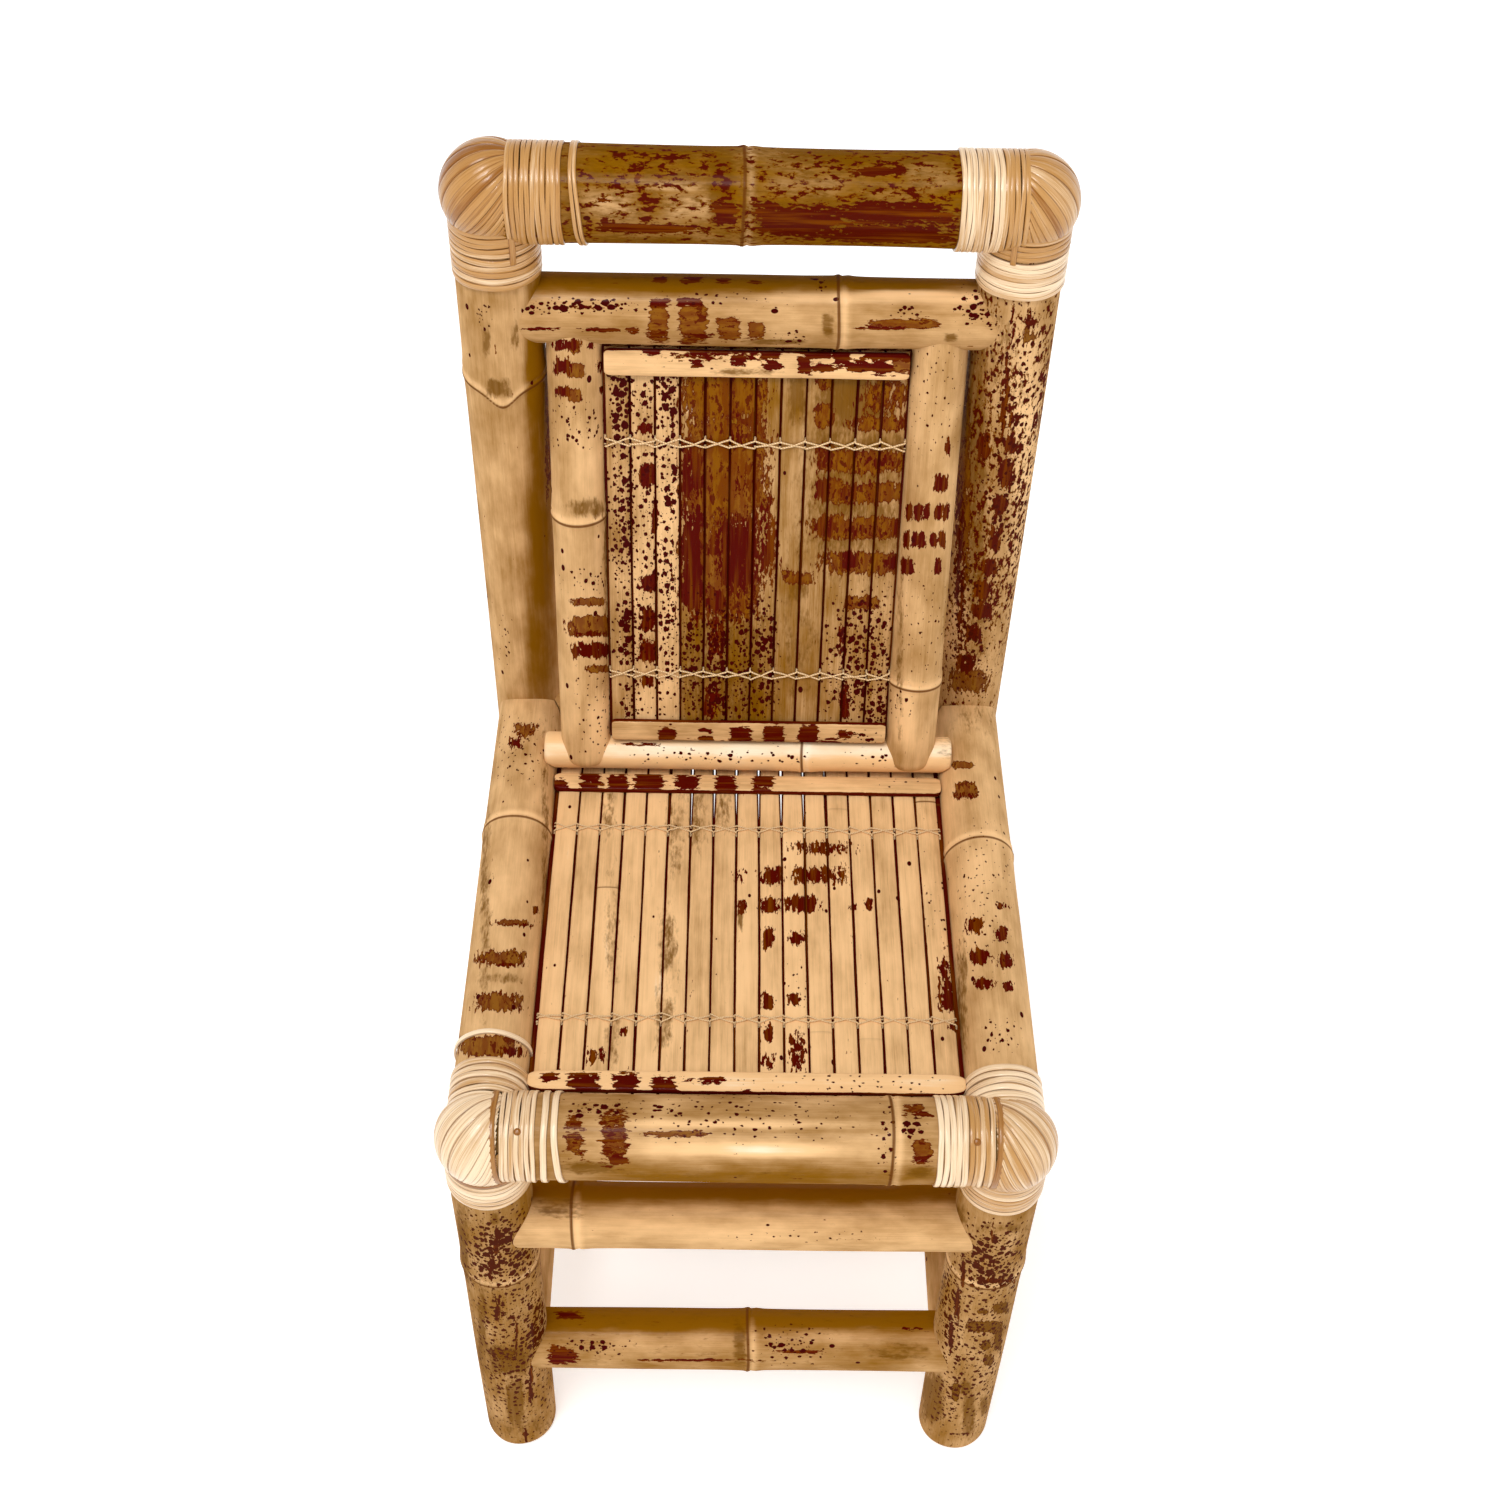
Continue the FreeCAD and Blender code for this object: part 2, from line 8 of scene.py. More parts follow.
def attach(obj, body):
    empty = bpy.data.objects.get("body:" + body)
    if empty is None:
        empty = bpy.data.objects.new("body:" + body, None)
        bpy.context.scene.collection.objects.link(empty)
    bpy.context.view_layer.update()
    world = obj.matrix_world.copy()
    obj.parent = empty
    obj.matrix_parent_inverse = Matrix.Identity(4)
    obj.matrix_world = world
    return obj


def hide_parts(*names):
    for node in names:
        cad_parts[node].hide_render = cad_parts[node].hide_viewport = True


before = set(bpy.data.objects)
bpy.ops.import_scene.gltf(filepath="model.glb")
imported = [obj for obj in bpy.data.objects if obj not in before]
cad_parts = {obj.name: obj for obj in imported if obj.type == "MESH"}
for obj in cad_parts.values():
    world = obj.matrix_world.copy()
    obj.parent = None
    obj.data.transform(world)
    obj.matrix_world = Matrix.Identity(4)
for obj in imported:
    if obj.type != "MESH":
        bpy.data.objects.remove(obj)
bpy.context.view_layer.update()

metre = 0.001  # all shapes below are worked out in millimetres
anyTurn = 6.28  # random waves start anywhere in a turn
grainApart = {"culm": 900.0, "cane": 400.0, "thread": 50.0}  # how far apart pieces take their grain
print("frame loaded:", len(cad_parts), "nodes")
xAxis, yAxis, zAxis = np.eye(3)


def unit(vectors):
    return vectors / np.linalg.norm(vectors, axis=-1, keepdims=True)


def runAlong(path):
    # how far along a path each of its points lies
    return np.concatenate([[0.0], np.cumsum(np.linalg.norm(np.diff(path, axis=0), axis=1))])


def gridFaces(index):
    # the four corners of each cell in a grid of point numbers
    corners = [index[:-1, :-1], index[:-1, 1:], index[1:, 1:], index[1:, :-1]]
    return np.stack(corners, axis=-1).reshape(-1, 4)


def addObject(name, data):
    made = bpy.data.objects.new(name, data)
    bpy.context.collection.objects.link(made)
    return made


# camera
view = {
    "eye": (-20.0, -1007.8, 1636.8),
    "down": 45.96, "turned": 1.126, "rolled": 1.631,
    "focal": 2000.0, "frame": 1500.0, "middle": (751.2, 750.0),
}
eye = np.array(view["eye"])
down, turned, rolled = (math.radians(view[key]) for key in ("down", "turned", "rolled"))
gaze = np.array([math.sin(turned) * math.cos(down), math.cos(turned) * math.cos(down), -math.sin(down)])
level = np.array([math.cos(turned), -math.sin(turned), 0.0])
rise = np.cross(level, gaze)
screenRight = math.cos(rolled) * level + math.sin(rolled) * rise
screenUp = -math.sin(rolled) * level + math.cos(rolled) * rise


def seenAt(points):
    # perspective: sideways and upward distance over depth, in the photograph's pixels
    away = points - eye
    depth = away @ gaze
    u = view["middle"][0] + view["focal"] * (away @ screenRight) / depth
    v = view["middle"][1] - view["focal"] * (away @ screenUp) / depth
    return u, v


def setCamera():
    lens = bpy.data.cameras.new("camera")
    lens.sensor_width = 36.0
    lens.lens = lens.sensor_width * view["focal"] / view["frame"]
    lens.shift_x = (view["frame"] / 2 - view["middle"][0]) / view["frame"]
    camera = addObject("camera", lens)
    turn = [[screenRight[k], screenUp[k], -gaze[k], eye[k] * metre] for k in range(3)]
    camera.matrix_world = Matrix(turn + [[0, 0, 0, 1]])
    bpy.context.scene.camera = camera


setCamera()
print("camera set")


# shader building
class Sock:
    def __init__(self, shade, out):
        self.shade = shade
        self.out = out

    def math(self, operation, first, second):
        return self.shade.node("ShaderNodeMath", {"operation": operation}, {0: first, 1: second})

    def __add__(self, other):
        return self.math("ADD", self, other)

    def __sub__(self, other):
        return self.math("SUBTRACT", self, other)

    def __rsub__(self, other):
        return self.math("SUBTRACT", other, self)

    def __mul__(self, other):
        return self.math("MULTIPLY", self, other)

    __radd__ = __add__
    __rmul__ = __mul__

    def output(self, out):
        return Sock(self.shade, self.out.node.outputs[out])


class Shade:
    def __init__(self, name, finish):
        self.material = bpy.data.materials.new(name)
        self.material.use_nodes = True
        self.tree = self.material.node_tree
        self.shader = self.tree.nodes["Principled BSDF"]
        for key, value in finish.items():
            self.shader.inputs[key].default_value = value

    def node(self, kind, settings, sockets, out=0):
        made = self.tree.nodes.new(kind)
        for key, value in settings.items():
            setattr(made, key, value)
        for key, value in sockets.items():
            self.plug(made.inputs[key], value)
        return Sock(self, made.outputs[out])

    def plug(self, target, value):
        if isinstance(value, Sock):
            self.tree.links.new(value.out, target)
        else:
            target.default_value = value

    def give(self, key, value):
        self.plug(self.shader.inputs[key], value)

    def attribute(self, name, out):
        return self.node("ShaderNodeAttribute", {"attribute_name": name}, {}, out)

    def stretched(self, vector, factors):
        return self.node("ShaderNodeVectorMath", {"operation": "MULTIPLY"}, {0: vector, 1: factors})

    def noise(self, vector, factors, detail, roughness):
        sockets = {"Scale": 1.0, "Detail": detail, "Roughness": roughness}
        return self.node("ShaderNodeTexNoise", {}, {"Vector": self.stretched(vector, factors), **sockets})

    def step(self, value, low, high):
        settings = {"interpolation_type": "SMOOTHSTEP"}
        return self.node("ShaderNodeMapRange", settings, {0: value, 1: low, 2: high, 3: 0.0, 4: 1.0})

    def mix(self, factor, first, second):
        return self.node("ShaderNodeMix", {"data_type": "RGBA"}, {0: factor, 6: first, 7: second}, 2)

    def split(self, vector):
        first = self.node("ShaderNodeSeparateXYZ", {}, {0: vector})
        return [first.output(part) for part in range(3)]

    def cells(self, vector, factors, flat):
        # distance to the nearest cell's middle, and a number from 0 to 1 of that cell's own
        settings = {"feature": "F1", "voronoi_dimensions": "2D" if flat else "3D"}
        sockets = {"Vector": self.stretched(vector, factors), "Scale": 1.0, "Randomness": 1.0}
        near = self.node("ShaderNodeTexVoronoi", settings, sockets)
        return near, self.split(near.output(1))[0]

    def bump(self, height, strength, distance):
        sockets = {"Height": height, "Strength": strength, "Distance": distance}
        self.give("Normal", self.node("ShaderNodeBump", {}, sockets))


def colour(red, green, blue):
    # a display colour of 0 to 255 made linear
    share = np.array([red, green, blue]) / 255.0
    linear = np.where(share <= 0.04045, share / 12.92, ((share + 0.055) / 1.055) ** 2.4)
    return (*[float(part) for part in linear], 1.0)


bambooFinish = {
    "deep": colour(130, 84, 4), "pale": colour(242, 196, 141), "paintedHighlight": colour(254, 236, 206),
    "stain": colour(108, 67, 0), "scorch": colour(82, 9, 2), "singe": colour(112, 53, 0),
    "tawny": colour(130, 77, 4), "fleck": colour(64, 6, 4), "scar": colour(98, 52, 12),
    "umber": colour(74, 26, 4), "rough": 0.36, "coat": 0.05, "shine": 0.0,
}
bambooNoise = {  # how close it lies across and along the culm, in turns per mm; its detail and roughness
    "fine": ((1.3, 1.3, 0.03), 3.0, 0.6), "streak": ((0.24, 0.24, 0.012), 3.0, 0.6),
    "cloud": ((0.035, 0.035, 0.02), 2.0, 0.5), "ragged": ((0.45, 0.45, 0.16), 4.0, 0.62),
    "blotch": ((0.15, 0.15, 0.06), 4.0, 0.6), "speckle": ((0.25, 0.25, 0.13), 4.0, 0.6),
}


def bambooMaterial(name, finish, fibre, streaky):
    # pale and deep tan by cloud, streak and fibre noise along the culm and by the tone attribute, whose marks
    # include painted shade and painted highlights, and which turns cream as a painted highlight where it runs
    # high;
    # olive stains, brown singed blocks with maroon rims and patches, ragged scorch marks, painted shade on
    # slat walls and round flecks where the painted attributes ask
    shade = Shade(name, {
        "Coat Weight": finish["coat"], "Coat Roughness": 0.1, "Specular IOR Level": finish["shine"],
    })
    grain, skin = shade.attribute("grain", 1), shade.attribute("skin", 1)
    burn, fleck, stain = shade.split(shade.attribute("paint", 1))
    umber = shade.split(skin)[2]
    scorch = shade.mix(umber, finish["scorch"], finish["umber"])
    dark = shade.mix(umber, finish["fleck"], finish["umber"])
    tone, singe, mottle, ring = (shade.attribute(key, 2) for key in ("tone", "singe", "mottle", "ring"))
    noises = [shade.noise(grain, *values) for values in bambooNoise.values()]
    fine, streak, cloud, ragged, blotch, speckle = noises
    soft = (cloud - 0.5) * 0.7 + (blotch - 0.5) * 0.3
    lightness = tone + soft + (streak - 0.5) * streaky + (fine - 0.5) * fibre
    base = shade.mix(shade.step(lightness, 0.0, 1.0), finish["deep"], finish["pale"])
    # tone above 0.95 blends to a cream colour: a painted highlight
    base = shade.mix(shade.step(lightness, 0.95, 1.6), base, finish["paintedHighlight"])
    dyed = stain + (blotch - 0.5) * 1.2 + (ragged - 0.5) + (streak - 0.5) * 0.4
    stained = shade.step(dyed, 0.22, 0.8)
    base = shade.mix(stained * (0.5 + streak * 0.65), base, finish["stain"])
    scald = singe + (ragged - 0.5) * 1.3 + (blotch - 0.5) * 1.0
    browned = shade.step(scald, 0.5, 0.56)
    warm = shade.step(blotch + (streak - 0.5) * 0.8, 0.42, 0.6)
    tawny = shade.mix(warm, finish["singe"], finish["tawny"])
    tawny = shade.mix(umber, tawny, finish["stain"])
    base = shade.mix(browned * 0.95, base, tawny)
    rim = browned * (1.0 - shade.step(scald, 0.58, 0.74))
    charred = browned * shade.step(speckle + (blotch - 0.5) * 0.5, 0.57, 0.61)
    base = shade.mix(rim * 0.75, base, scorch)
    base = shade.mix(charred * 0.85, base, scorch)
    patch = speckle + mottle * 0.5
    base = shade.mix(shade.step(patch, 0.955, 0.985) * 0.9, base, tawny)
    base = shade.mix(shade.step(patch, 1.0, 1.02), base, scorch)
    drawn = (ragged - 0.5) * 2.0 + (blotch - 0.5) * 0.8 + (streak - 0.5) * 0.9
    # besides scorch marks, this mask darkens the slat walls and the right post's left side as painted shade
    scorchAndShade = shade.step(burn + drawn, 0.5, 0.56)
    base = shade.mix(scorchAndShade, base, shade.mix(shade.step(streak, 0.46, 0.72), scorch, finish["singe"]))
    for cell, least, span, cut in ((0.17, 0.16, 0.44, 0.0), (0.3, 0.3, 0.5, 0.4)):
        near, chance = shade.cells(skin, (cell, cell * 0.85, 1.0), True)
        size = (fleck - cut) * (least + chance * span) + (ragged - 0.5) * 0.75
        spotted = shade.step(size - near, -0.01, 0.03) * shade.step(fleck, cut + 0.05, cut + 0.12)
        base = shade.mix(spotted, base, dark)
    near, chance = shade.cells(grain, (0.075, 0.075, 0.05), False)
    base = shade.mix(shade.step((chance - 0.5) * 0.3 - near, -0.01, 0.01), base, dark)
    line = 1.0 - shade.step(ring, 0.5, 1.7)
    base = shade.mix(line * 0.9, base, finish["scar"])
    shade.give("Base Color", base)
    shade.give("Roughness", finish["rough"] + (streak - 0.5) * 0.25 + stained * 0.08 - scorchAndShade * 0.05)
    shade.bump(fine * 0.35 + streak * 0.5 + line * -0.8 + ragged * 0.15, 0.3, 0.0005)
    return shade.material


caneFinish = {
    "deep": colour(146, 90, 28), "mid": colour(192, 142, 82), "pale": colour(248, 220, 182),
    "gap": colour(120, 68, 24),
}


def caneMaterial(name, finish):
    # brown, tan or pale by each strand's tone, with fibres along it and edges darkened with painted shade
    # where strands meet
    shade = Shade(name, {"Coat Weight": 0.3, "Coat Roughness": 0.14, "Specular IOR Level": 0.25})
    grain = shade.attribute("grain", 1)
    tone = shade.attribute("tone", 2)
    edge = shade.attribute("ring", 2)
    fine = shade.noise(grain, (1.0, 1.0, 0.02), 3.0, 0.6)
    patch = shade.noise(grain, (0.3, 0.3, 0.03), 3.0, 0.55)
    lightness = tone + (fine - 0.5) * 0.85 + (patch - 0.5) * 0.35
    base = shade.mix(shade.step(lightness, 0.0, 0.5), finish["deep"], finish["mid"])
    base = shade.mix(shade.step(lightness, 0.5, 1.0), base, finish["pale"])
    # darker towards each strand's edges: painted shade in the seams between strands
    edgeShade = shade.step(edge + (patch - 0.5) * 0.5, 0.8, 1.02)
    base = shade.mix(edgeShade * 0.6, base, finish["gap"])
    shade.give("Base Color", base)
    shade.give("Roughness", 0.3 + (fine - 0.5) * 0.25)
    shade.bump(fine * 0.8 + patch * 0.3, 0.25, 0.0004)
    return shade.material


threadFinish = {"shade": colour(204, 156, 94), "light": colour(250, 226, 184)}


def threadMaterial(name, finish):
    # waxed thread: slanted plies along its length, their lit ridges and shaded grooves painted in with a
    # light and a shade colour
    shade = Shade(name, {"Roughness": 0.6})
    grain = shade.attribute("grain", 1)
    around, _, along = shade.split(grain)
    ply = shade.node("ShaderNodeMath", {"operation": "SINE"}, {0: along * 3.2 + around * 2.0})
    fuzz = shade.noise(grain, (2.0, 2.0, 1.0), 2.0, 0.6)
    lit = shade.step(ply * 0.5 + fuzz, 0.0, 1.2)
    shade.give("Base Color", shade.mix(lit, finish["shade"], finish["light"]))
    shade.give("Roughness", 0.5 + fuzz * 0.25)
    shade.bump(ply, 0.4, 0.0002)
    return shade.material


dowelFinish = {"deep": colour(168, 116, 62), "pale": colour(216, 172, 112)}


def dowelMaterial(name, finish):
    shade = Shade(name, {"Roughness": 0.6})
    place = shade.node("ShaderNodeTexCoord", {}, {}, 3)
    grain = shade.noise(place, (900.0, 900.0, 120.0), 3.0, 0.6)
    shade.give("Base Color", shade.mix(shade.step(grain, 0.3, 0.7), finish["deep"], finish["pale"]))
    shade.give("Roughness", 0.5 + grain * 0.2)
    shade.bump(grain, 0.2, 0.0003)
    return shade.material


finishes = {
    "bamboo": bambooMaterial("varnished_culm", bambooFinish, 0.2, 0.22),
    "split_bamboo": bambooMaterial("split_culm", bambooFinish, 0.36, 0.5),
    "cane": caneMaterial("wrapped_cane", caneFinish),
    "thread": threadMaterial("lacing_thread", threadFinish),
    "dowel_wood": dowelMaterial("turned_dowel", dowelFinish),
}
print("finishes made:", len(finishes))


# surfaces to pieces
def makePiece(name, node, slot, patches):
    # patches are grids of points that close round their columns and are capped at both ends
    corners, starts = [], []
    pointCount, cornerCount = 0, 0
    for patch in patches:
        rows, columns = patch["at"].shape[:2]
        index = np.arange(rows * columns).reshape(rows, columns) + pointCount
        pointCount += rows * columns
        quads = gridFaces(np.concatenate([index, index[:, :1]], axis=1))
        for faces in (quads, index[:1, ::-1], index[-1:]):
            corners.append(faces.ravel())
            starts.append(cornerCount + np.arange(0, faces.size, faces.shape[1]))
            cornerCount += faces.size
    points = np.concatenate([patch["at"].reshape(-1, 3) for patch in patches])
    starts = np.concatenate(starts).astype(np.int32)
    mesh = bpy.data.meshes.new(name)
    mesh.vertices.add(pointCount)
    mesh.vertices.foreach_set("co", (points * metre).ravel())
    mesh.loops.add(cornerCount)
    mesh.loops.foreach_set("vertex_index", np.concatenate(corners).astype(np.int32))
    mesh.polygons.add(len(starts))
    mesh.polygons.foreach_set("loop_start", starts)
    mesh.polygons.foreach_set("use_smooth", np.ones(len(starts), dtype=bool))
    mesh.update(calc_edges=True)
    for key in patches[0]:
        if key != "at":
            kind, field = ("FLOAT_VECTOR", "vector") if patches[0][key].ndim == 3 else ("FLOAT", "value")
            values = np.concatenate([patch[key].ravel() for patch in patches])
            mesh.attributes.new(key, kind, "POINT").data.foreach_set(field, values)
    mesh.set_sharp_from_angle(angle=math.radians(50.0))
    mesh.materials.append(finishes[slot])
    piece = addObject(name, mesh)
    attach(piece, "root")
    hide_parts(node)


def facingEye(points, normals):
    # how much a surface point looks at the camera, as a soft step
    return np.clip((np.sum(unit(eye - points) * normals, axis=-1) + 0.02) * 6.0, 0.0, 1.0)


def softBlock(first, second):
    # a block with rounded corners, from two distances in half sizes: full inside and gone at 1.5
    return np.clip(1.5 - (first ** 4 + second ** 4) ** 0.25, 0.0, 1.0)


markKinds = ("burn", "singe", "fleck", "stain", "tone", "mottle")


def paintMarks(points, facing, marks, base):
    # each kind of mark lists soft blocks in the photograph's frame: where they are, their half
    # sizes and how strong they are
    u, v = seenAt(points)
    layers = {kind: np.full(u.shape, base.get(kind, 0.0)) for kind in markKinds}
    for kind, blocks in marks.items():
        for blockU, blockV, halfU, halfV, strength in blocks:
            soft = softBlock((u - blockU) / halfU, (v - blockV) / halfV) * strength * facing
            layers[kind] = layers[kind] + soft if kind == "tone" else np.maximum(layers[kind], soft)
    return layers


def paintLayers(layers, across, along, offset, umber):
    # the painted layers as a piece's attributes, and the skin: its surface laid out flat, with how
    # brown its dark marks are
    return {
        "paint": np.stack([layers["burn"], layers["fleck"], layers["stain"]], axis=-1),
        "skin": np.stack([across + offset[0], along + offset[1], np.full(across.shape, umber)], axis=-1),
        "tone": layers["tone"], "mottle": layers["mottle"], "singe": layers["singe"],
    }


# culms
eyeSide = np.array([0.0, -0.7, 0.7])
culmForm = {
    "columns": 88, "spacing": 3.0,
    "beside": (-10, -7, -4.5, -2.8, -1.4, 0, 1.4, 2.8, 4.5, 7, 10),  # more rows by a node
    "ridge": ((0.9, 0.0, 2.2), (-0.5, 3.2, 1.2), (0.45, 7.0, 3.6), (0.5, 0.0, 16.0)),  # a node's humps
    "lip": (0.3, 4.0, 3.0),  # paler just past a node
    "sway": 0.008, "oval": 0.008, "lobes": 0.004, "waver": 0.7, "dipWidth": 0.36,
    "zone": 0.34, "clear": 10.0, "plain": 60.0, "marksApart": 60.0, "hiddenMarks": 0.85,
}


def spread(low, high, spacing):
    return np.linspace(low, high, max(2, int(round((high - low) / spacing)) + 1))


def endShift(end, way, ring, radius):
    # how far from the host's axis each line of the culm begins: a round host cuts a saddle,
    # a mitre follows the plane that halves the corner
    shift = np.zeros(len(ring))
    if "host" in end:
        across = ring @ np.cross(way, np.array(end["hostWay"])) * radius
        shift = np.sqrt(np.maximum((end["host"] - 1.0) ** 2 - across ** 2, 0.0))
    if "mitre" in end:
        shift = np.maximum(shift, ring @ np.array(end["mitre"]) * radius)
    if "saddle" in end:
        host, drop, least = end["saddle"]
        high = drop + ring[:, 2] * radius
        shift = np.maximum(least, np.sqrt(np.maximum(host ** 2 - high ** 2, 0.0)))
    return shift


def hump(off, high, middle, wide):
    # a bell curve of a given height, middle and width
    return high * np.exp(-((off - middle) / wide) ** 2)


def culmRows(culm, length, rounds):
    # where the circles stand: evenly, closer by the nodes and on rounded ends, none of them twice
    rows = [spread(0.0, length, culm.get("spacing", culmForm["spacing"]))]
    rows += [node + np.array(culmForm["beside"]) for node in culm["nodes"]]
    if "nodeDip" in culm:
        rows += [spread(node - culm["nodeDip"] - 6.0, node, 1.0) for node in culm["nodes"]]
    bend = 1.0 - np.cos(np.linspace(0.05, 0.5 * np.pi, 9))
    rows += [rounds[0] * bend, length - rounds[1] * bend]
    along = np.sort(np.concatenate(rows))
    along = along[(along >= rounds[0] * bend[0]) & (along <= length - rounds[1] * bend[0])]
    return along[np.concatenate([[True], np.diff(along) > 0.25])]


def culmSurface(culm, seed):
    # a circle carried along the axis; its radius tapers, swells softly and rises at each node,
    # and the lines along it start and stop on the surface of the pole they meet
    draw = np.random.default_rng(seed)
    start, end = np.array(culm["from"]), np.array(culm["to"])
    length = np.linalg.norm(end - start)
    way = (end - start) / length
    out = unit(eyeSide - way * (eyeSide @ way))
    side = np.cross(way, out)
    columns, radius, nodes = culm.get("columns", culmForm["columns"]), culm["radius"], culm["nodes"]
    turn = np.linspace(0.0, 2 * np.pi, columns, endpoint=False) + np.pi
    ring = np.cos(turn)[:, None] * out + np.sin(turn)[:, None] * side
    rounds = [finish.get("round", 0.0) for finish in culm["ends"]]
    along = culmRows(culm, length, rounds)
    # shape along the axis
    share = along / length
    swell = 1.0 + culm.get("taper", 0.0) * (share - 0.5)
    swell = swell + culm.get("waist", 0.0) * ((2.0 * share - 1.0) ** 2 - 0.5)
    swell = swell + culmForm["sway"] * np.sin(2 * np.pi * (share * 1.4 + draw.random()))
    trim = np.zeros_like(along)
    for depth, size in zip((along, length - along), rounds):
        inside = np.clip(size - depth, 0.0, size)
        trim += size - np.sqrt(np.maximum(size ** 2 - inside ** 2, 0.0))
    # a node's ring tilts and wavers round the culm, and may dip to a V in front
    tilt = culm.get("nodeTilt", 0.0) * np.cos(turn) + culmForm["waver"] * np.sin(2 * turn + draw.random() * 6)
    tilt = tilt + hump(turn, culm.get("nodeDip", 0.0), 2 * np.pi, culmForm["dipWidth"])
    offs = along[:, None, None] + tilt[:, None] - np.array(nodes)
    lift = sum(hump(offs, *wave) for wave in culmForm["ridge"]).sum(axis=-1)
    nearest = np.minimum(np.abs(offs).min(axis=-1), culmForm["plain"])
    oval = 1.0 + culmForm["oval"] * np.cos(2 * (turn - draw.random() * np.pi))
    oval = oval + culmForm["lobes"] * np.cos(5 * turn + draw.random() * 6)
    size = radius * swell[:, None] * oval - trim[:, None] + lift
    # the cut ends draw the lines in over a zone that stops short of the nearest node
    reach = np.repeat(along[:, None], columns, axis=1)
    sides = ((1.0, along, min(nodes)), (-1.0, length - along, length - max(nodes)))
    for finish, (sign, depth, clear) in zip(culm["ends"], sides):
        shift = endShift(finish, sign * way, ring, radius)
        zone = max(min(culmForm["zone"] * length, clear - culmForm["clear"]), 1.25 * shift.max(), 1.0)
        reach = reach + sign * shift * np.clip(1.0 - depth / zone, 0.0, 1.0)[:, None]
    at = start + reach[..., None] * way + size[..., None] * ring
    facing = facingEye(at, ring)
    layers = paintMarks(at, facing, culm.get("marks", {}), culm["base"])
    layers["tone"] = layers["tone"] + hump(offs, *culmForm["lip"]).sum(axis=-1)
    # the sides that the photograph doesn't show carry a few marks of the same kind
    for _ in range(int(length / culmForm["marksApart"])):
        place, angle = draw.random() * length, (draw.random() * 1.2 + 2.4) * np.pi
        halfAlong, halfTurn = 6.0 + draw.random() * 12.0, 0.25 + draw.random() * 0.5
        around = (turn - angle + np.pi) % (2 * np.pi) - np.pi
        soft = softBlock((reach - place) / halfAlong, around / halfTurn)
        kind = ("burn", "singe", "fleck")[int(draw.random() * 3)]
        layers[kind] = np.maximum(layers[kind], soft * culmForm["hiddenMarks"] * (1.0 - facing))
    offset = draw.random(3) * grainApart["culm"]
    around = np.broadcast_to(radius * np.stack([np.cos(turn), np.sin(turn)], axis=-1), (*reach.shape, 2))
    grain = np.concatenate([around, reach[..., None]], axis=-1) + offset
    arc = np.broadcast_to(radius * (turn - 2 * np.pi), reach.shape)
    painted = paintLayers(layers, arc, reach, offset, culm.get("umber", 0.0))
    return {"at": at, "grain": grain, "ring": nearest, **painted}


def layCulm(node, culm, seed):
    makePiece(node + "_culm", node, "bamboo", [culmSurface(culm, seed)])


# axes of the frame
legX, frontY, rearY = 185.0, -222.4, 219.6
seatZ, topZ, upperZ, apronZ, stretcherZ, sideStretcherZ = 429.0, 914.0, 822.0, 325.0, 136.0, 94.0
postSize, legSize, topSize, upperSize, apronSize = 30.0, 29.5, 33.0, 25.5, 24.5
frontSize, sideSize, rearSize, stretcherSize, sideStretcherSize = 30.2, 27.0, 28.0, 24.0, 25.0
upLeg = {"host": legSize, "hostWay": (0, 0, 1)}
upPost = {"host": postSize, "hostWay": (0, 0, 1)}
spanX, spanY = 2 * legX, rearY - frontY


def nodeAt(share, length, inset=9.0):
    # a share of the rail between its ends, which lie short of the axes that they run to
    return inset + share * (length - 2 * inset)


def upright(x, y, top, radius):
    ends = ({"round": 4.5}, {"round": radius})
    return {"from": (x, y, 0), "to": (x, y, top + radius), "radius": radius, "ends": ends}


def betweenLegs(y, z, radius, end, node):
    nodes = [nodeAt(node, spanX)]
    return {"from": (-legX, y, z), "to": (legX, y, z), "radius": radius, "ends": (end, end), "nodes": nodes}


def frontToRear(x, z, radius, node, **mitre):
    ends, nodes = ({**upLeg, **mitre}, {**upPost, **mitre}), [nodeAt(node, spanY)]
    return {"from": (x, frontY, z), "to": (x, rearY, z), "radius": radius, "ends": ends, "nodes": nodes}


rearPostLeft = {
    **upright(-legX, rearY, topZ, postSize), "taper": -0.01, "nodeTilt": 2.5, "nodeDip": 11.0,
    "nodes": [0.055 * topZ, 0.372 * topZ, 0.842 * topZ], "base": {"tone": 0.44},
    "marks": {
        "stain": [
            (486, 341, 4, 16, 0.85), (498, 388, 13, 9, 0.8), (515, 335, 4, 14, 0.75), (492, 384, 5, 5, 0.9),
        ],
        "fleck": [(484, 318, 6, 14, 0.7), (505, 640, 6, 22, 0.4)],
        # tone: painted shade down the post's right side
        "tone": [(536, 335, 9, 60, -0.4), (541, 500, 12, 170, -0.45)],
        "singe": [(549, 430, 4, 70, 0.7)],
    },
}
layCulm("rear_post_left", rearPostLeft, 11)

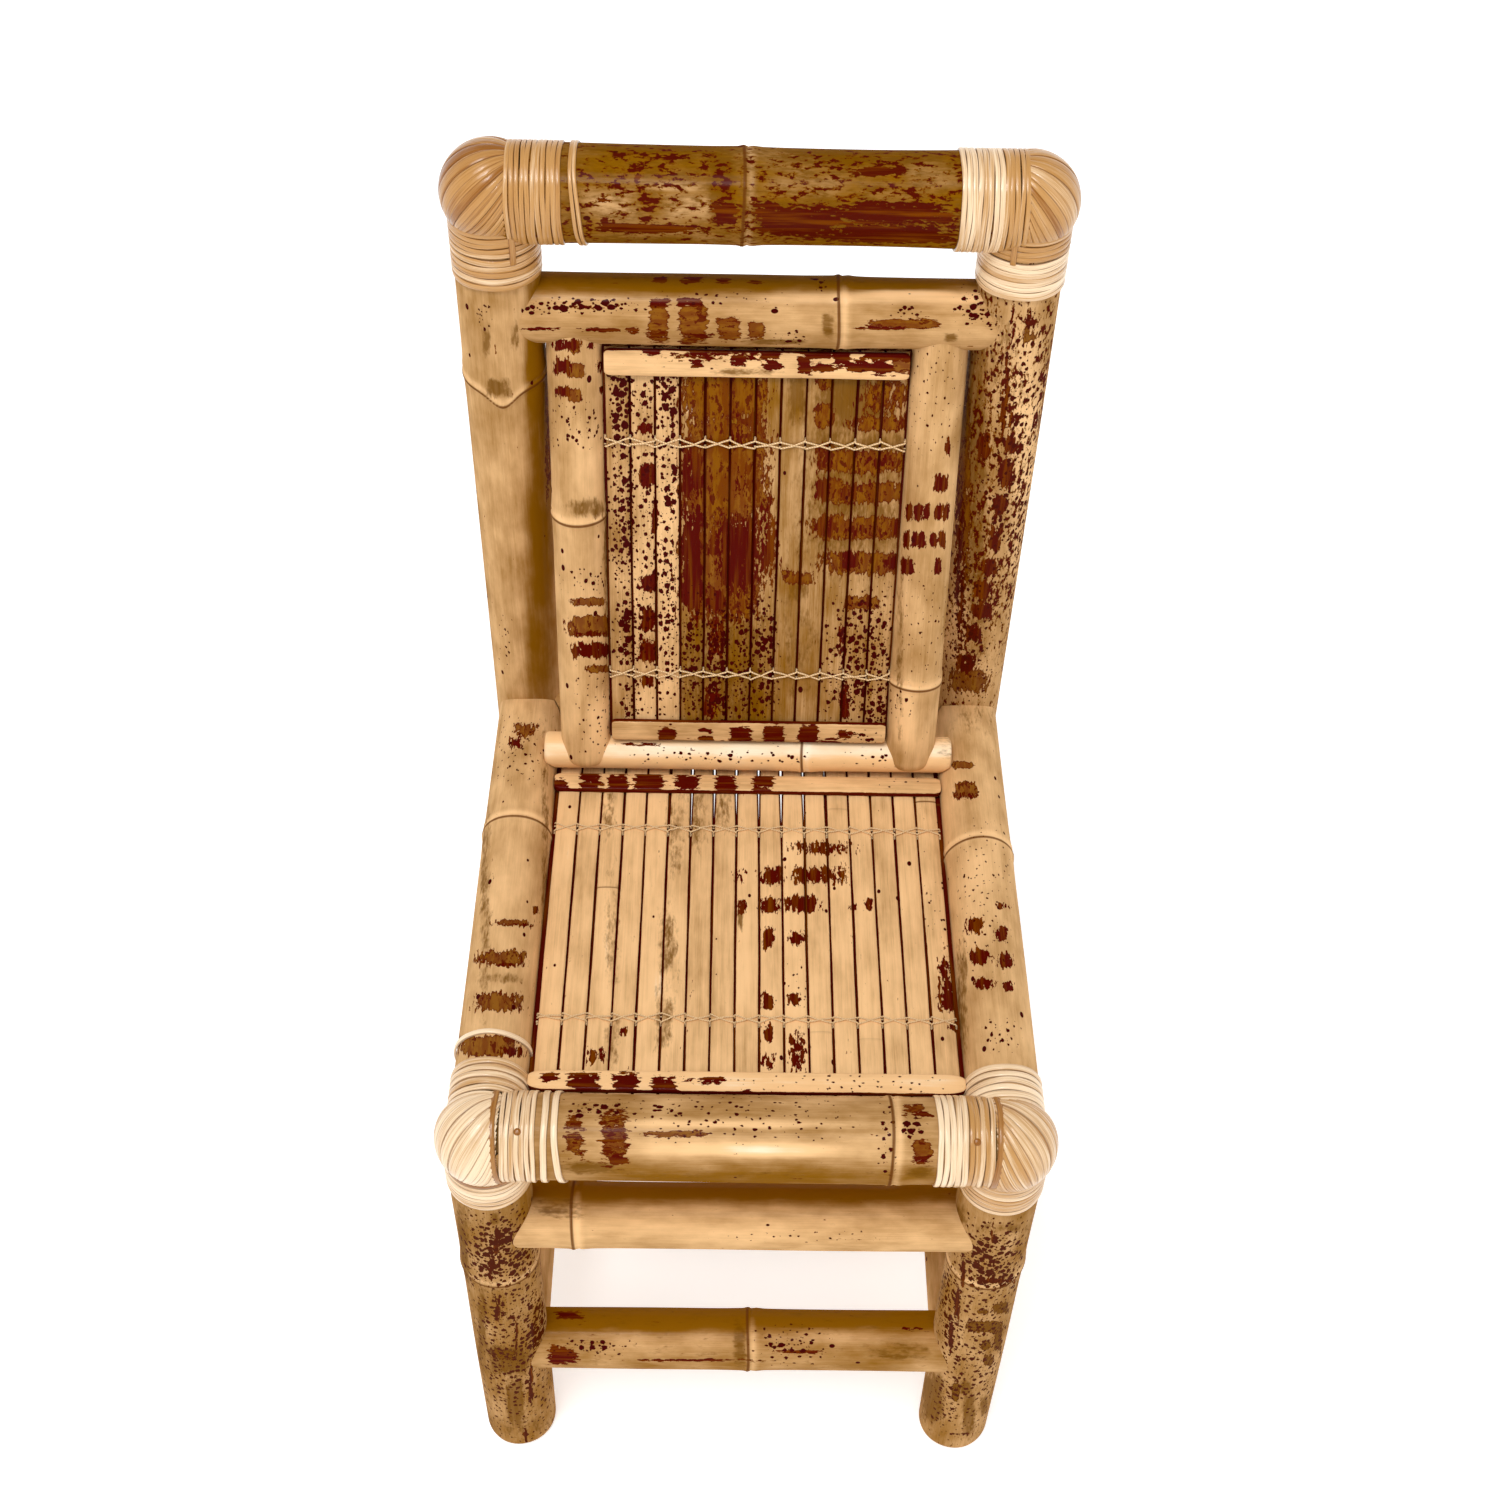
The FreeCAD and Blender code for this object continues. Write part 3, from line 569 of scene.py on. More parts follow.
rearPostRight = {
    **upright(legX, rearY, topZ, postSize), "taper": -0.01, "nodes": [0.066 * topZ, 0.383 * topZ],
    "base": {"tone": 0.44, "mottle": 0.78, "stain": 0.24}, "umber": 0.35,
    "marks": {
        "mottle": [(1000, 490, 50, 230, 0.9), (1046, 400, 14, 130, 0.95)],
        "fleck": [(1015, 450, 34, 170, 0.56), (968, 620, 22, 70, 0.6)],
        "stain": [(976, 470, 12, 190, 0.8), (1000, 350, 30, 40, 0.45)],
        "tone": [(1024, 420, 14, 120, 0.3)],
        # the long dark marks down the left side, burn (960, 560) and singe (963, 480), are brown colour and
        # painted shade beside the stile together
        "burn": [
            (1013, 330, 1.8, 30, 1.0), (1007, 380, 1.8, 30, 1.0), (1003, 420, 1.8, 24, 1.0),
            (1013, 420, 5, 8, 1.0), (1010, 445, 6, 9, 1.05), (1005, 474, 7, 13, 1.1), (1000, 505, 7, 10, 1.1),
            (995, 539, 6, 12, 1.0), (990, 567, 7, 8, 1.05), (983, 590, 9, 8, 1.1), (982, 611, 10, 8, 1.1),
            (974, 634, 9, 9, 1.0), (966, 663, 10, 10, 1.0), (984, 447, 6, 14, 1.05), (960, 560, 6, 100, 0.7),
            (1036, 420, 4, 9, 0.9), (1030, 322, 10, 8, 0.75),
        ],
        "singe": [(963, 480, 8, 120, 0.85), (968, 680, 22, 14, 0.85), (1030, 330, 10, 20, 0.7)],
    },
}
layCulm("rear_post_right", rearPostRight, 12)

frontLegLeft = {
    **upright(-legX, frontY, seatZ, legSize), "taper": 0.02, "nodes": [0.629 * seatZ],
    "base": {"tone": 0.28, "mottle": 0.62, "stain": 0.2}, "umber": 0.9,
    "marks": {
        "fleck": [
            (503, 1250, 38, 36, 1.0), (515, 1340, 40, 90, 0.64), (487, 1320, 6, 20, 0.7),
            (536, 1325, 13, 38, 1.0), (500, 1395, 10, 26, 0.5), (545, 1390, 8, 24, 0.6),
        ],
        "burn": [
            (497, 1240, 3, 14, 1.0), (491, 1266, 4, 14, 0.9), (498, 1308, 3, 12, 0.9), (512, 1318, 5, 2, 0.9),
            (516, 1336, 1.8, 16, 0.95), (531, 1385, 2.6, 22, 0.9), (526, 1435, 1.6, 7, 1.0),
            (526, 1434, 6, 1.4, 0.8),
        ],
        "stain": [
            (463, 1250, 6, 52, 0.8), (482, 1330, 5, 44, 0.7), (495, 1219, 5, 6, 0.9),
            (508, 1360, 20, 14, 1.05), (515, 1402, 8, 24, 1.15), (520, 1425, 34, 10, 0.5),
        ],
        "mottle": [(500, 1250, 40, 34, 0.74), (536, 1325, 13, 38, 0.8)],
        "singe": [(503, 1354, 14, 6, 0.85)],
    },
}
layCulm("front_leg_left", frontLegLeft, 13)

frontLegRight = {
    **upright(legX, frontY, seatZ, legSize), "taper": 0.02, "nodes": [0.643 * seatZ],
    "base": {"tone": 0.33, "mottle": 0.6, "stain": 0.18}, "umber": 0.9,
    "marks": {
        "fleck": [
            (992, 1262, 34, 36, 0.95), (975, 1345, 40, 80, 0.6), (948, 1310, 11, 44, 0.85),
            (968, 1358, 16, 12, 0.7), (948, 1400, 14, 26, 0.74),
        ],
        "mottle": [(985, 1265, 36, 30, 0.74)],
        "burn": [
            (963, 1272, 2.4, 16, 1.0), (957, 1304, 2.4, 18, 1.0), (951, 1336, 2.4, 18, 1.0),
            (1001, 1281, 17, 2.5, 0.95), (992, 1232, 1.6, 12, 1.0), (960, 1434, 14, 1.6, 0.7),
        ],
        "singe": [
            (985, 1327, 19, 6, 1.05), (1001, 1308, 8, 6, 0.95), (982, 1312, 7, 3, 0.8),
            (985, 1345, 5, 5, 1.05), (998, 1341, 4, 11, 0.95), (988, 1360, 5, 6, 1.0),
            (956, 1392, 4, 12, 0.95),
        ],
        "stain": [
            (966, 1388, 6, 7, 1.0), (969, 1415, 6, 22, 0.9), (932, 1398, 11, 24, 1.0),
            (984, 1406, 4, 10, 0.9), (955, 1215, 12, 10, 0.8), (1000, 1228, 34, 5, 0.6),
        ],
    },
}
layCulm("front_leg_right", frontLegRight, 14)

topRail = {
    **betweenLegs(rearY, topZ, topSize, upPost, 0.466), "taper": -0.03, "waist": 0.05,
    "base": {"tone": 0.13, "mottle": 0.83, "stain": 0.45}, "umber": 0.3,
    "marks": {
        "mottle": [
            (650, 155, 80, 8, 0.97), (647, 206, 22, 12, 1.05), (722, 180, 16, 30, 1.0),
            (850, 166, 110, 12, 0.94), (790, 190, 40, 8, 0.98), (900, 192, 60, 7, 1.0),
            (660, 168, 90, 12, 0.93), (640, 190, 60, 12, 0.93),
        ],
        "stain": [
            (660, 148, 90, 7, 0.8), (855, 156, 110, 12, 0.75), (722, 190, 14, 50, 0.95),
            (640, 240, 70, 4, 0.7), (850, 220, 120, 24, 1.0),
        ],
        "tone": [
            (693, 207, 24, 12, 0.42), (676, 187, 26, 4, 0.4), (610, 202, 22, 12, 0.3),
            (800, 186, 44, 8, 0.15),
        ],
        "burn": [
            (643, 228, 46, 5, 1.05), (637, 178, 3, 9, 0.85), (668, 172, 8, 3, 0.9), (604, 200, 6, 4, 0.8),
            (604, 222, 8, 4, 0.9), (725, 216, 13, 14, 0.95), (880, 172, 26, 5, 0.9), (800, 222, 44, 16, 1.0),
            (890, 212, 60, 12, 1.0), (890, 234, 66, 9, 1.05), (768, 208, 14, 8, 0.8),
        ],
        "singe": [(850, 222, 120, 22, 0.66)],
    },
}
layCulm("top_rail", topRail, 15)

upperBackRail = {
    **betweenLegs(rearY, upperZ, upperSize, upPost, 0.662), "base": {"tone": 0.42},
    "marks": {
        # the first tone mark is painted shade along the top, where the top rail shades it; the other two are
        # painted highlight streaks
        "tone": [(760, 266, 290, 22, -0.8), (900, 297, 110, 5, 0.35), (905, 293, 36, 3, 0.5)],
        # the first stain along the top is olive colour and painted shade under the top rail together
        "stain": [
            (760, 276, 280, 8, 0.3), (951, 338, 6, 4, 1.0), (828, 325, 6, 14, 0.75), (775, 342, 30, 3, 0.8),
        ],
        "singe": [
            (659, 324, 10, 20, 1.0), (693, 323, 14, 20, 1.05), (729, 329, 12, 12, 1.0), (756, 331, 9, 9, 1.0),
            (905, 324, 38, 5, 0.95),
        ],
        "burn": [
            (660, 303, 11, 5, 0.9), (690, 302, 13, 5, 0.9), (660, 279, 8, 4, 0.85), (693, 280, 11, 4, 0.9),
            (724, 281, 8, 3, 0.75), (755, 282, 9, 2, 0.7), (657, 334, 10, 4, 0.8), (700, 336, 16, 3, 0.75),
            (540, 329, 18, 2.2, 0.95), (600, 330, 20, 2.2, 0.95), (632, 330, 8, 4, 0.8),
            (885, 328, 30, 2, 0.9),
        ],
        "fleck": [
            (582, 306, 56, 7, 1.0), (980, 308, 20, 18, 0.85), (905, 312, 12, 6, 0.75), (790, 338, 12, 6, 0.8),
            (820, 285, 8, 10, 0.6), (720, 300, 60, 8, 0.35),
        ],
        "mottle": [(590, 307, 44, 4, 1.0)],
    },
}
layCulm("upper_back_rail", upperBackRail, 16)

seatRearRail = {
    **betweenLegs(rearY, seatZ, rearSize, {**upPost, "mitre": (0, -1, 0)}, 0.330),
    "base": {"tone": 0.3, "stain": 0.35},
}
layCulm("seat_rear_rail", seatRearRail, 17)

rearStretcher = {**betweenLegs(rearY, stretcherZ, stretcherSize, upPost, 0.443), "base": {"tone": 0.42}}
layCulm("rear_stretcher", rearStretcher, 18)

seatFrontRail = {
    **betweenLegs(frontY, seatZ, frontSize, {**upLeg, "mitre": (0, 1, 0)}, 0.787), "base": {"tone": 0.44},
    "marks": {
        "singe": [
            (574, 1136, 12, 26, 0.66), (614, 1136, 15, 32, 0.78), (675, 1134, 34, 4, 0.85),
            (914, 1110, 12, 6, 0.8), (922, 1150, 10, 14, 0.9),
        ],
        "burn": [
            (574, 1130, 12, 20, 0.42), (614, 1138, 15, 30, 0.52), (618, 1160, 10, 5, 0.9),
            (922, 1114, 12, 5, 0.8), (922, 1160, 11, 5, 0.8),
        ],
        "fleck": [
            (600, 1108, 36, 7, 0.7), (660, 1110, 30, 8, 0.6), (745, 1120, 90, 20, 0.4),
            (912, 1130, 12, 14, 0.75), (886, 1140, 8, 40, 0.55),
        ],
        # the pale bands along the middle and the thin lines near the top are painted highlights; the dark
        # band along the bottom is painted shade on the underside
        "tone": [
            (740, 1147, 110, 9, 0.25), (725, 1149, 70, 5, 0.3), (785, 1151, 50, 5, 0.35),
            (760, 1124, 130, 3, 0.3), (760, 1184, 180, 18, -0.36), (690, 1124, 100, 5, 0.2),
        ],
        "stain": [(760, 1174, 170, 5, 0.25), (920, 1172, 14, 6, 0.8), (592, 1168, 28, 6, 0.8)],
    },
}
layCulm("seat_front_rail", seatFrontRail, 19)

frontApronRail = {
    **betweenLegs(frontY, apronZ, apronSize, upLeg, 0.141), "base": {"tone": 0.48},
    "marks": {
        # tone: painted shadow along the top, under the seat's front rail, and painted light along the lower
        # part
        "tone": [(745, 1180, 240, 19, -0.8), (745, 1234, 220, 14, 0.12)],
        "stain": [(560, 1208, 28, 9, 0.6)],
        "fleck": [(800, 1236, 90, 6, 0.2)],
    },
}
layCulm("front_apron_rail", frontApronRail, 20)

frontStretcher = {
    **betweenLegs(frontY, stretcherZ, stretcherSize, upLeg, 0.517), "base": {"tone": 0.31, "stain": 0.2},
    "marks": {
        "burn": [
            (563, 1356, 14, 9, 0.95), (570, 1315, 15, 4, 0.85), (690, 1360, 60, 1.4, 0.85),
            (800, 1352, 26, 2, 0.8), (915, 1330, 14, 3, 0.7),
        ],
        "fleck": [(596, 1347, 34, 7, 0.75), (790, 1345, 34, 16, 0.62)],
        # tone: painted shade along the top, under the apron, and painted light on two patches lower down
        "tone": [(745, 1304, 220, 22, -0.6), (690, 1342, 110, 12, 0.12), (850, 1336, 60, 8, 0.15)],
        "stain": [(740, 1345, 7, 24, 0.75), (900, 1352, 30, 10, 0.6)],
    },
}
layCulm("front_stretcher", frontStretcher, 21)

seatSideRailLeft = {
    **frontToRear(-legX, seatZ, sideSize, 0.637, mitre=(1, 0, 0)), "base": {"tone": 0.54},
    "marks": {
        "singe": [
            (512, 923, 22, 4, 0.85), (502, 958, 26, 9, 0.8), (498, 1002, 26, 11, 0.8),
            (490, 1046, 30, 11, 1.0), (526, 730, 14, 8, 0.75),
        ],
        "burn": [
            (536, 910, 3, 4, 1.0), (520, 925, 12, 2.5, 0.8), (512, 1052, 14, 6, 0.75), (505, 965, 16, 3, 0.6),
            (516, 742, 7, 6, 0.85),
        ],
        "tone": [(512, 880, 16, 50, 0.12)],
        "stain": [(485, 900, 5, 120, 0.6), (545, 850, 4, 120, 0.5), (498, 978, 22, 5, 0.6)],
        "fleck": [(520, 750, 20, 30, 0.35)],
    },
}
layCulm("seat_side_rail_left", seatSideRailLeft, 22)

seatSideRailRight = {
    **frontToRear(legX, seatZ, sideSize, 0.599, mitre=(-1, 0, 0)), "base": {"tone": 0.56},
    "marks": {
        "burn": [
            (974, 926, 9, 8, 0.95), (980, 957, 11, 8, 1.0), (984, 984, 11, 6, 0.95), (1001, 933, 8, 7, 0.95),
            (1005, 961, 8, 8, 0.95), (1008, 986, 6, 6, 0.85), (966, 796, 10, 4, 0.7), (1002, 906, 8, 3, 0.7),
        ],
        "singe": [(963, 765, 11, 4, 0.95), (966, 791, 12, 9, 0.95)],
        "fleck": [(985, 900, 24, 70, 0.26), (1000, 1035, 16, 14, 0.6)],
        "stain": [(962, 1000, 6, 60, 0.7), (975, 720, 24, 20, 0.35)],
        "tone": [(980, 880, 16, 40, 0.25)],
    },
}
layCulm("seat_side_rail_right", seatSideRailRight, 23)

for side, x, seed in (("left", -legX, 24), ("right", legX, 25)):
    span = frontToRear(x, sideStretcherZ, sideStretcherSize, 0.583)
    layCulm("side_stretcher_" + side, {**span, "base": {"tone": 0.44}}, seed)

# the seat and the leaning back as planes
lowY, lowZ, lowSize = 137.6, 449.6, 15.0
backFoot = np.array([0.0, lowY, lowZ])
backRun = np.array([0.0, rearY - lowY, upperZ - lowZ])
backLength = float(np.linalg.norm(backRun))
backUp = backRun / backLength
panels = {
    "seat": {"foot": np.array([0.0, frontY, seatZ]), "up": yAxis, "out": zAxis},
    "back": {"foot": backFoot, "up": backUp, "out": np.cross(xAxis, backUp)},
}


def onPanel(panel, x, row, high):
    # a point of the seat or back panel from its place across, along and above the panel's plane
    plane = panels[panel]
    x, row, high = np.broadcast_arrays(np.asarray(x, float), row, high)
    level = plane["foot"] + x[..., None] * xAxis + row[..., None] * plane["up"]
    return level + high[..., None] * plane["out"]


overSide = {"saddle": (26.4, lowZ - seatZ, 18.0), "round": 4.0}
lowerBackRail = {
    "from": (-legX, lowY, lowZ), "to": (legX, lowY, lowZ), "radius": lowSize, "columns": 56,
    "nodes": [nodeAt(0.632, spanX, 18.0)], "ends": (overSide, overSide), "base": {"tone": 0.92},
    "marks": {
        # tone: a painted highlight band along the rail's middle
        "tone": [(760, 750, 220, 7, 0.45)],
        "fleck": [(710, 756, 60, 7, 0.55), (790, 755, 20, 7, 0.5), (880, 757, 30, 7, 0.45)],
        "burn": [(640, 744, 20, 1.5, 0.8)],
        "stain": [(950, 745, 12, 14, 0.4)],
    },
}
layCulm("lower_back_rail", lowerBackRail, 26)


def stile(x, node):
    ends = ({"round": 12.0}, {"host": upperSize, "hostWay": (1, 0, 0)})
    return {
        "from": onPanel("back", x, -9.0, 0.0), "to": onPanel("back", x, backLength, 0.0), "radius": 20.5,
        "columns": 64, "nodes": [1.0 + node * (backLength - 1.0)], "ends": ends,
    }


backStileLeft = {
    **stile(-133.0, 0.592), "base": {"tone": 0.54},
    "marks": {
        "burn": [
            (565, 345, 14, 6, 0.95), (590, 345, 5, 5, 0.8), (562, 366, 9, 9, 0.9), (600, 367, 4, 7, 0.85),
            (562, 392, 8, 6, 0.95), (602, 390, 3, 5, 0.7), (594, 650, 21, 8, 1.1), (592, 634, 18, 3, 0.7),
        ],
        "singe": [
            (573, 346, 10, 8, 0.8), (577, 370, 9, 8, 1.0), (575, 396, 7, 7, 0.95), (589, 602, 18, 4.5, 1.0),
            (592, 626, 25, 10, 1.15), (600, 669, 14, 4, 1.0),
        ],
        "fleck": [(580, 425, 26, 22, 0.5), (590, 580, 24, 10, 0.6), (598, 715, 20, 40, 0.3)],
        "stain": [(588, 508, 22, 9, 0.7), (607, 560, 4, 120, 0.6)],
        # tone: the first mark is a painted highlight on the lower end
        "tone": [(598, 725, 9, 26, 0.3), (585, 470, 14, 40, 0.15)],
    },
}
layCulm("back_stile_left", backStileLeft, 27)

dashRows = (
    (512, (909, 918, 926, 938, 946)), (540, (906, 915, 922, 933, 942)), (566, (904, 911, 938)), (484, (938,)),
)
backStileRight = {
    **stile(133.0, 0.216), "base": {"tone": 0.5},
    "marks": {
        "burn": [
            *((u, v, 3.4, 8, 1.15) for v, places in dashRows for u in places),
            (948, 447, 3, 9, 0.95), (943, 484, 5, 9, 0.95),
        ],
        "fleck": [(925, 620, 22, 60, 0.2), (900, 702, 10, 12, 0.6), (935, 400, 24, 50, 0.24)],
        "stain": [(900, 645, 4, 120, 0.5)],
        # tone: a painted highlight on the lower end
        "tone": [(906, 712, 9, 28, 0.4)],
    },
}
layCulm("back_stile_right", backStileRight, 28)
print("culms laid")


# slats and strips
barSection = {
    "across": (0.965, 1.0, 1.0, 0.955, 0.8, 0.5, 0.17), "high": (0.0, 0.1, 0.8, 0.93, 1.0, 1.0, 1.0),
    "wall": 0.99,
}
slatSection = {
    "across": (0.965, 1.0, 1.0, 0.88, 0.875, 0.84, 0.72, 0.46, 0.16),
    "high": (0.0, 0.1, 0.48, 0.54, 0.86, 0.96, 1.0, 1.0, 1.0), "wall": 0.87,
}


barForm = {
    "spacing": 3.0, "ripple": ((0.012, 31.0), (0.008, 12.0)), "narrowFrom": 0.72, "narrowRate": 5.0,
    "bow": 1.3, "drift": 0.6, "driftRun": 57.0, "gapShade": 1.3,
}


def barSurface(bar, seed):
    # a flat section with a crowned face and eased edges, carried along a straight line; its
    # width wanders a little and narrows to a round where the bar has rounded ends; its side walls carry
    # painted shade
    draw = np.random.default_rng(seed)
    section = bar.get("section", barSection)
    half, high = np.array(section["across"]), np.array(section["high"])
    barAcross, barShare = np.concatenate([-half, half[::-1]]), np.concatenate([high, high[::-1]])
    start, along, out = (np.array(bar[key], dtype=float) for key in ("start", "along", "out"))
    across = np.cross(along, out)
    length, tip, stray = bar["length"], bar.get("tip", 0.0), bar.get("stray", 0.0)
    rows = spread(0.0, length, barForm["spacing"])
    if tip:
        bend = tip * (1.0 - np.cos(np.linspace(0.12, 0.5 * np.pi, 8)))
        rows = np.sort(np.concatenate([rows[(rows > tip) & (rows < length - tip)], bend, length - bend]))
    phase = draw.random(4) * anyTurn
    ripple = sum(size * np.sin(rows / run + first) for (size, run), first in zip(barForm["ripple"], phase))
    half = bar["width"] / 2 * (1.0 + ripple)
    if tip:
        depth = np.clip(tip - np.minimum(rows, length - rows), 0.0, tip)
        half = half * (1.0 - bar["tipCut"] + bar["tipCut"] * np.sqrt(1.0 - (depth / tip) ** 2))
    late = (rows / length - barForm["narrowFrom"]) * barForm["narrowRate"]
    half = half - bar.get("narrow", 0.0) * np.clip(late, 0.0, 1.0)
    lift = stray * np.sin(rows / length * np.pi * barForm["bow"] + phase[2]) + stray * (draw.random() - 0.5)
    onFace, onEdge = np.where(barShare > 0.5, 1.0, 0.0), barShare > 0.05
    face = barShare * (bar["thick"] - bar["crown"] * barAcross ** 2) + onFace * lift[:, None]
    before, after = bar.get("reach", (0.0, 0.0))
    edge = np.where((np.abs(barAcross) > 0.95) & onEdge, np.where(barAcross < 0, -before, after), 0.0)
    drift = stray * barForm["drift"] * np.sin(rows / barForm["driftRun"] + phase[3])
    aside = barAcross * half[:, None] + edge + drift[:, None]
    at = start + rows[:, None, None] * along + aside[..., None] * across + face[..., None] * out
    layers = paintMarks(at, onFace, bar["marks"], bar["base"])
    # the side walls, down in the gaps between slats, take the burn layer at full: painted shade between the
    # slats
    onWall = (np.abs(barAcross) > section["wall"]) & onEdge
    layers["burn"] = np.where(onWall, barForm["gapShade"], layers["burn"])
    offset = draw.random(3) * grainApart["culm"]
    run = np.broadcast_to(rows[:, None], aside.shape)
    grain = np.stack([aside, face, run], axis=-1) + offset
    node = bar.get("node", 0.0)
    nearest = np.abs(run - node) if node else np.full(aside.shape, culmForm["plain"])
    return {"at": at, "grain": grain, "ring": nearest, **paintLayers(layers, aside, run, offset, 0.0)}


def layBar(node, bar, seed):
    makePiece(node + "_split", node, "split_bamboo", [barSurface(bar, seed)])


# seat panel
seatSlats = {
    "count": 17, "half": 154.5, "gap": 1.5, "show": -0.9, "beside": 3.2, "from": 34.0, "to": 362.0,
    "under": -3.0, "nodes": 0.3, "nodeReach": 330.0, "loose": range(5, 12), "narrow": 1.0,
    "tones": (
        0.78, 0.72, 0.7, 0.78, 0.84, 0.72, 0.64, 0.66, 0.76, 0.76, 0.82, 0.72, 0.74, 0.76, 0.7, 0.76, 0.68,
    ),
    "marks": {
        "burn": [
            (823, 848, 31, 7, 0.72), (772, 876, 12, 10, 0.86), (818, 875, 26, 9, 0.86),
            (740, 876, 7, 7, 0.62), (770, 905, 11, 8, 0.9), (802, 904, 20, 9, 0.82), (742, 907, 6, 8, 0.65),
            (855, 907, 4, 4, 0.8), (869, 905, 5, 6, 0.9), (768, 938, 7, 11, 0.85), (797, 938, 9, 9, 0.75),
            (767, 1001, 7, 8, 0.9), (793, 999, 8, 7, 0.72), (769, 1033, 7, 9, 0.75), (768, 1060, 8, 9, 0.7),
            (797, 1052, 10, 22, 0.68), (596, 1056, 11, 9, 0.72), (623, 1032, 3, 7, 0.85),
            (946, 981, 9, 30, 0.7), (949, 1000, 7, 12, 1.0), (953, 1027, 6, 5, 0.8),
        ],
        "fleck": [(945, 900, 5, 60, 0.4), (930, 905, 8, 20, 0.35), (795, 985, 10, 20, 0.35)],
        "stain": [
            (608, 810, 8, 30, 0.5), (612, 930, 8, 60, 0.45), (676, 830, 9, 44, 0.56),
            (668, 950, 10, 40, 0.56), (664, 1020, 10, 30, 0.5), (698, 815, 10, 34, 0.54),
            (722, 810, 10, 30, 0.56), (612, 1040, 9, 30, 0.48), (740, 918, 3, 12, 0.8),
        ],
        "tone": [(606, 795, 6, 16, 0.3), (606, 960, 5, 60, 0.3), (662, 985, 9, 14, 0.3)],
    },
}


slatForm = {"section": slatSection, "thick": 7.0, "crown": 1.2, "stray": 0.25}


def laySlats(panel, slats, seed):
    # equal slats side by side across the panel
    pitch = (2 * slats["half"] + slats["gap"]) / slats["count"]
    last = slats["count"] - 1
    for index in range(slats["count"]):
        centre = -slats["half"] + pitch * index + (pitch - slats["gap"]) / 2
        draw = np.random.default_rng(seed + index)
        bar = {
            **slatForm, "start": onPanel(panel, centre, slats["from"], slats["under"]),
            "along": panels[panel]["up"], "out": panels[panel]["out"], "length": slats["to"] - slats["from"],
            "width": pitch - slats["show"], "narrow": slats["narrow"] if index in slats["loose"] else 0.0,
            "reach": (slats["beside"] * (index == 0), slats["beside"] * (index == last)),
            "node": draw.random() * slats["nodeReach"] if draw.random() < slats["nodes"] else 0.0,
            "base": {"tone": slats["tones"][index]}, "marks": slats["marks"],
        }
        layBar("%s_slat_%02d" % (panel, index + 1), bar, seed + 40 + index)


laySlats("seat", seatSlats, 100)


def stripOn(panel, x, row, high, width):
    # a strip laid over the ends of a panel's slats, from one side to the other
    plane = {"start": onPanel(panel, -x, row, high), "along": xAxis, "out": panels[panel]["out"]}
    return {**plane, "length": 2 * x, "width": width, "thick": 5.5, "crown": 0.8}


seatFrontStrip = {
    **stripOn("seat", 157.5, 42.5, 4.2, 17.0), "tip": 14.0, "tipCut": 0.6, "base": {"tone": 0.9},
    "marks": {
        "burn": [
            (550, 1078, 9, 4, 0.95), (584, 1083, 16, 10, 1.1), (626, 1083, 14, 10, 1.05),
            (664, 1085, 14, 9, 1.05), (710, 1081, 14, 4, 1.0), (688, 1081, 6, 2.5, 0.9),
            (748, 1092, 5, 3, 0.9),
        ],
        "singe": [(626, 1086, 14, 8, 0.9)],
        "fleck": [(850, 1083, 100, 8, 0.3)],
        # tone: a painted highlight along the strip
        "tone": [(840, 1082, 120, 4, 0.2)],
    },
}
layBar("seat_front_strip", seatFrontStrip, 180)

seatRearStrip = {
    **stripOn("seat", 158.5, 336.25, 4.2, 17.5), "tip": 6.0, "tipCut": 0.4, "base": {"tone": 0.68},
    "marks": {
        "burn": [
            (591, 783, 11, 9, 1.05), (618, 784, 11, 9, 1.1), (649, 783, 15, 9, 1.15), (687, 782, 13, 8, 1.1),
            (726, 784, 10, 9, 1.1), (763, 782, 10, 9, 1.1), (560, 784, 8, 6, 0.9),
        ],
        "fleck": [(900, 784, 20, 6, 0.3)],
    },
}
layBar("seat_rear_strip", seatRearStrip, 181)

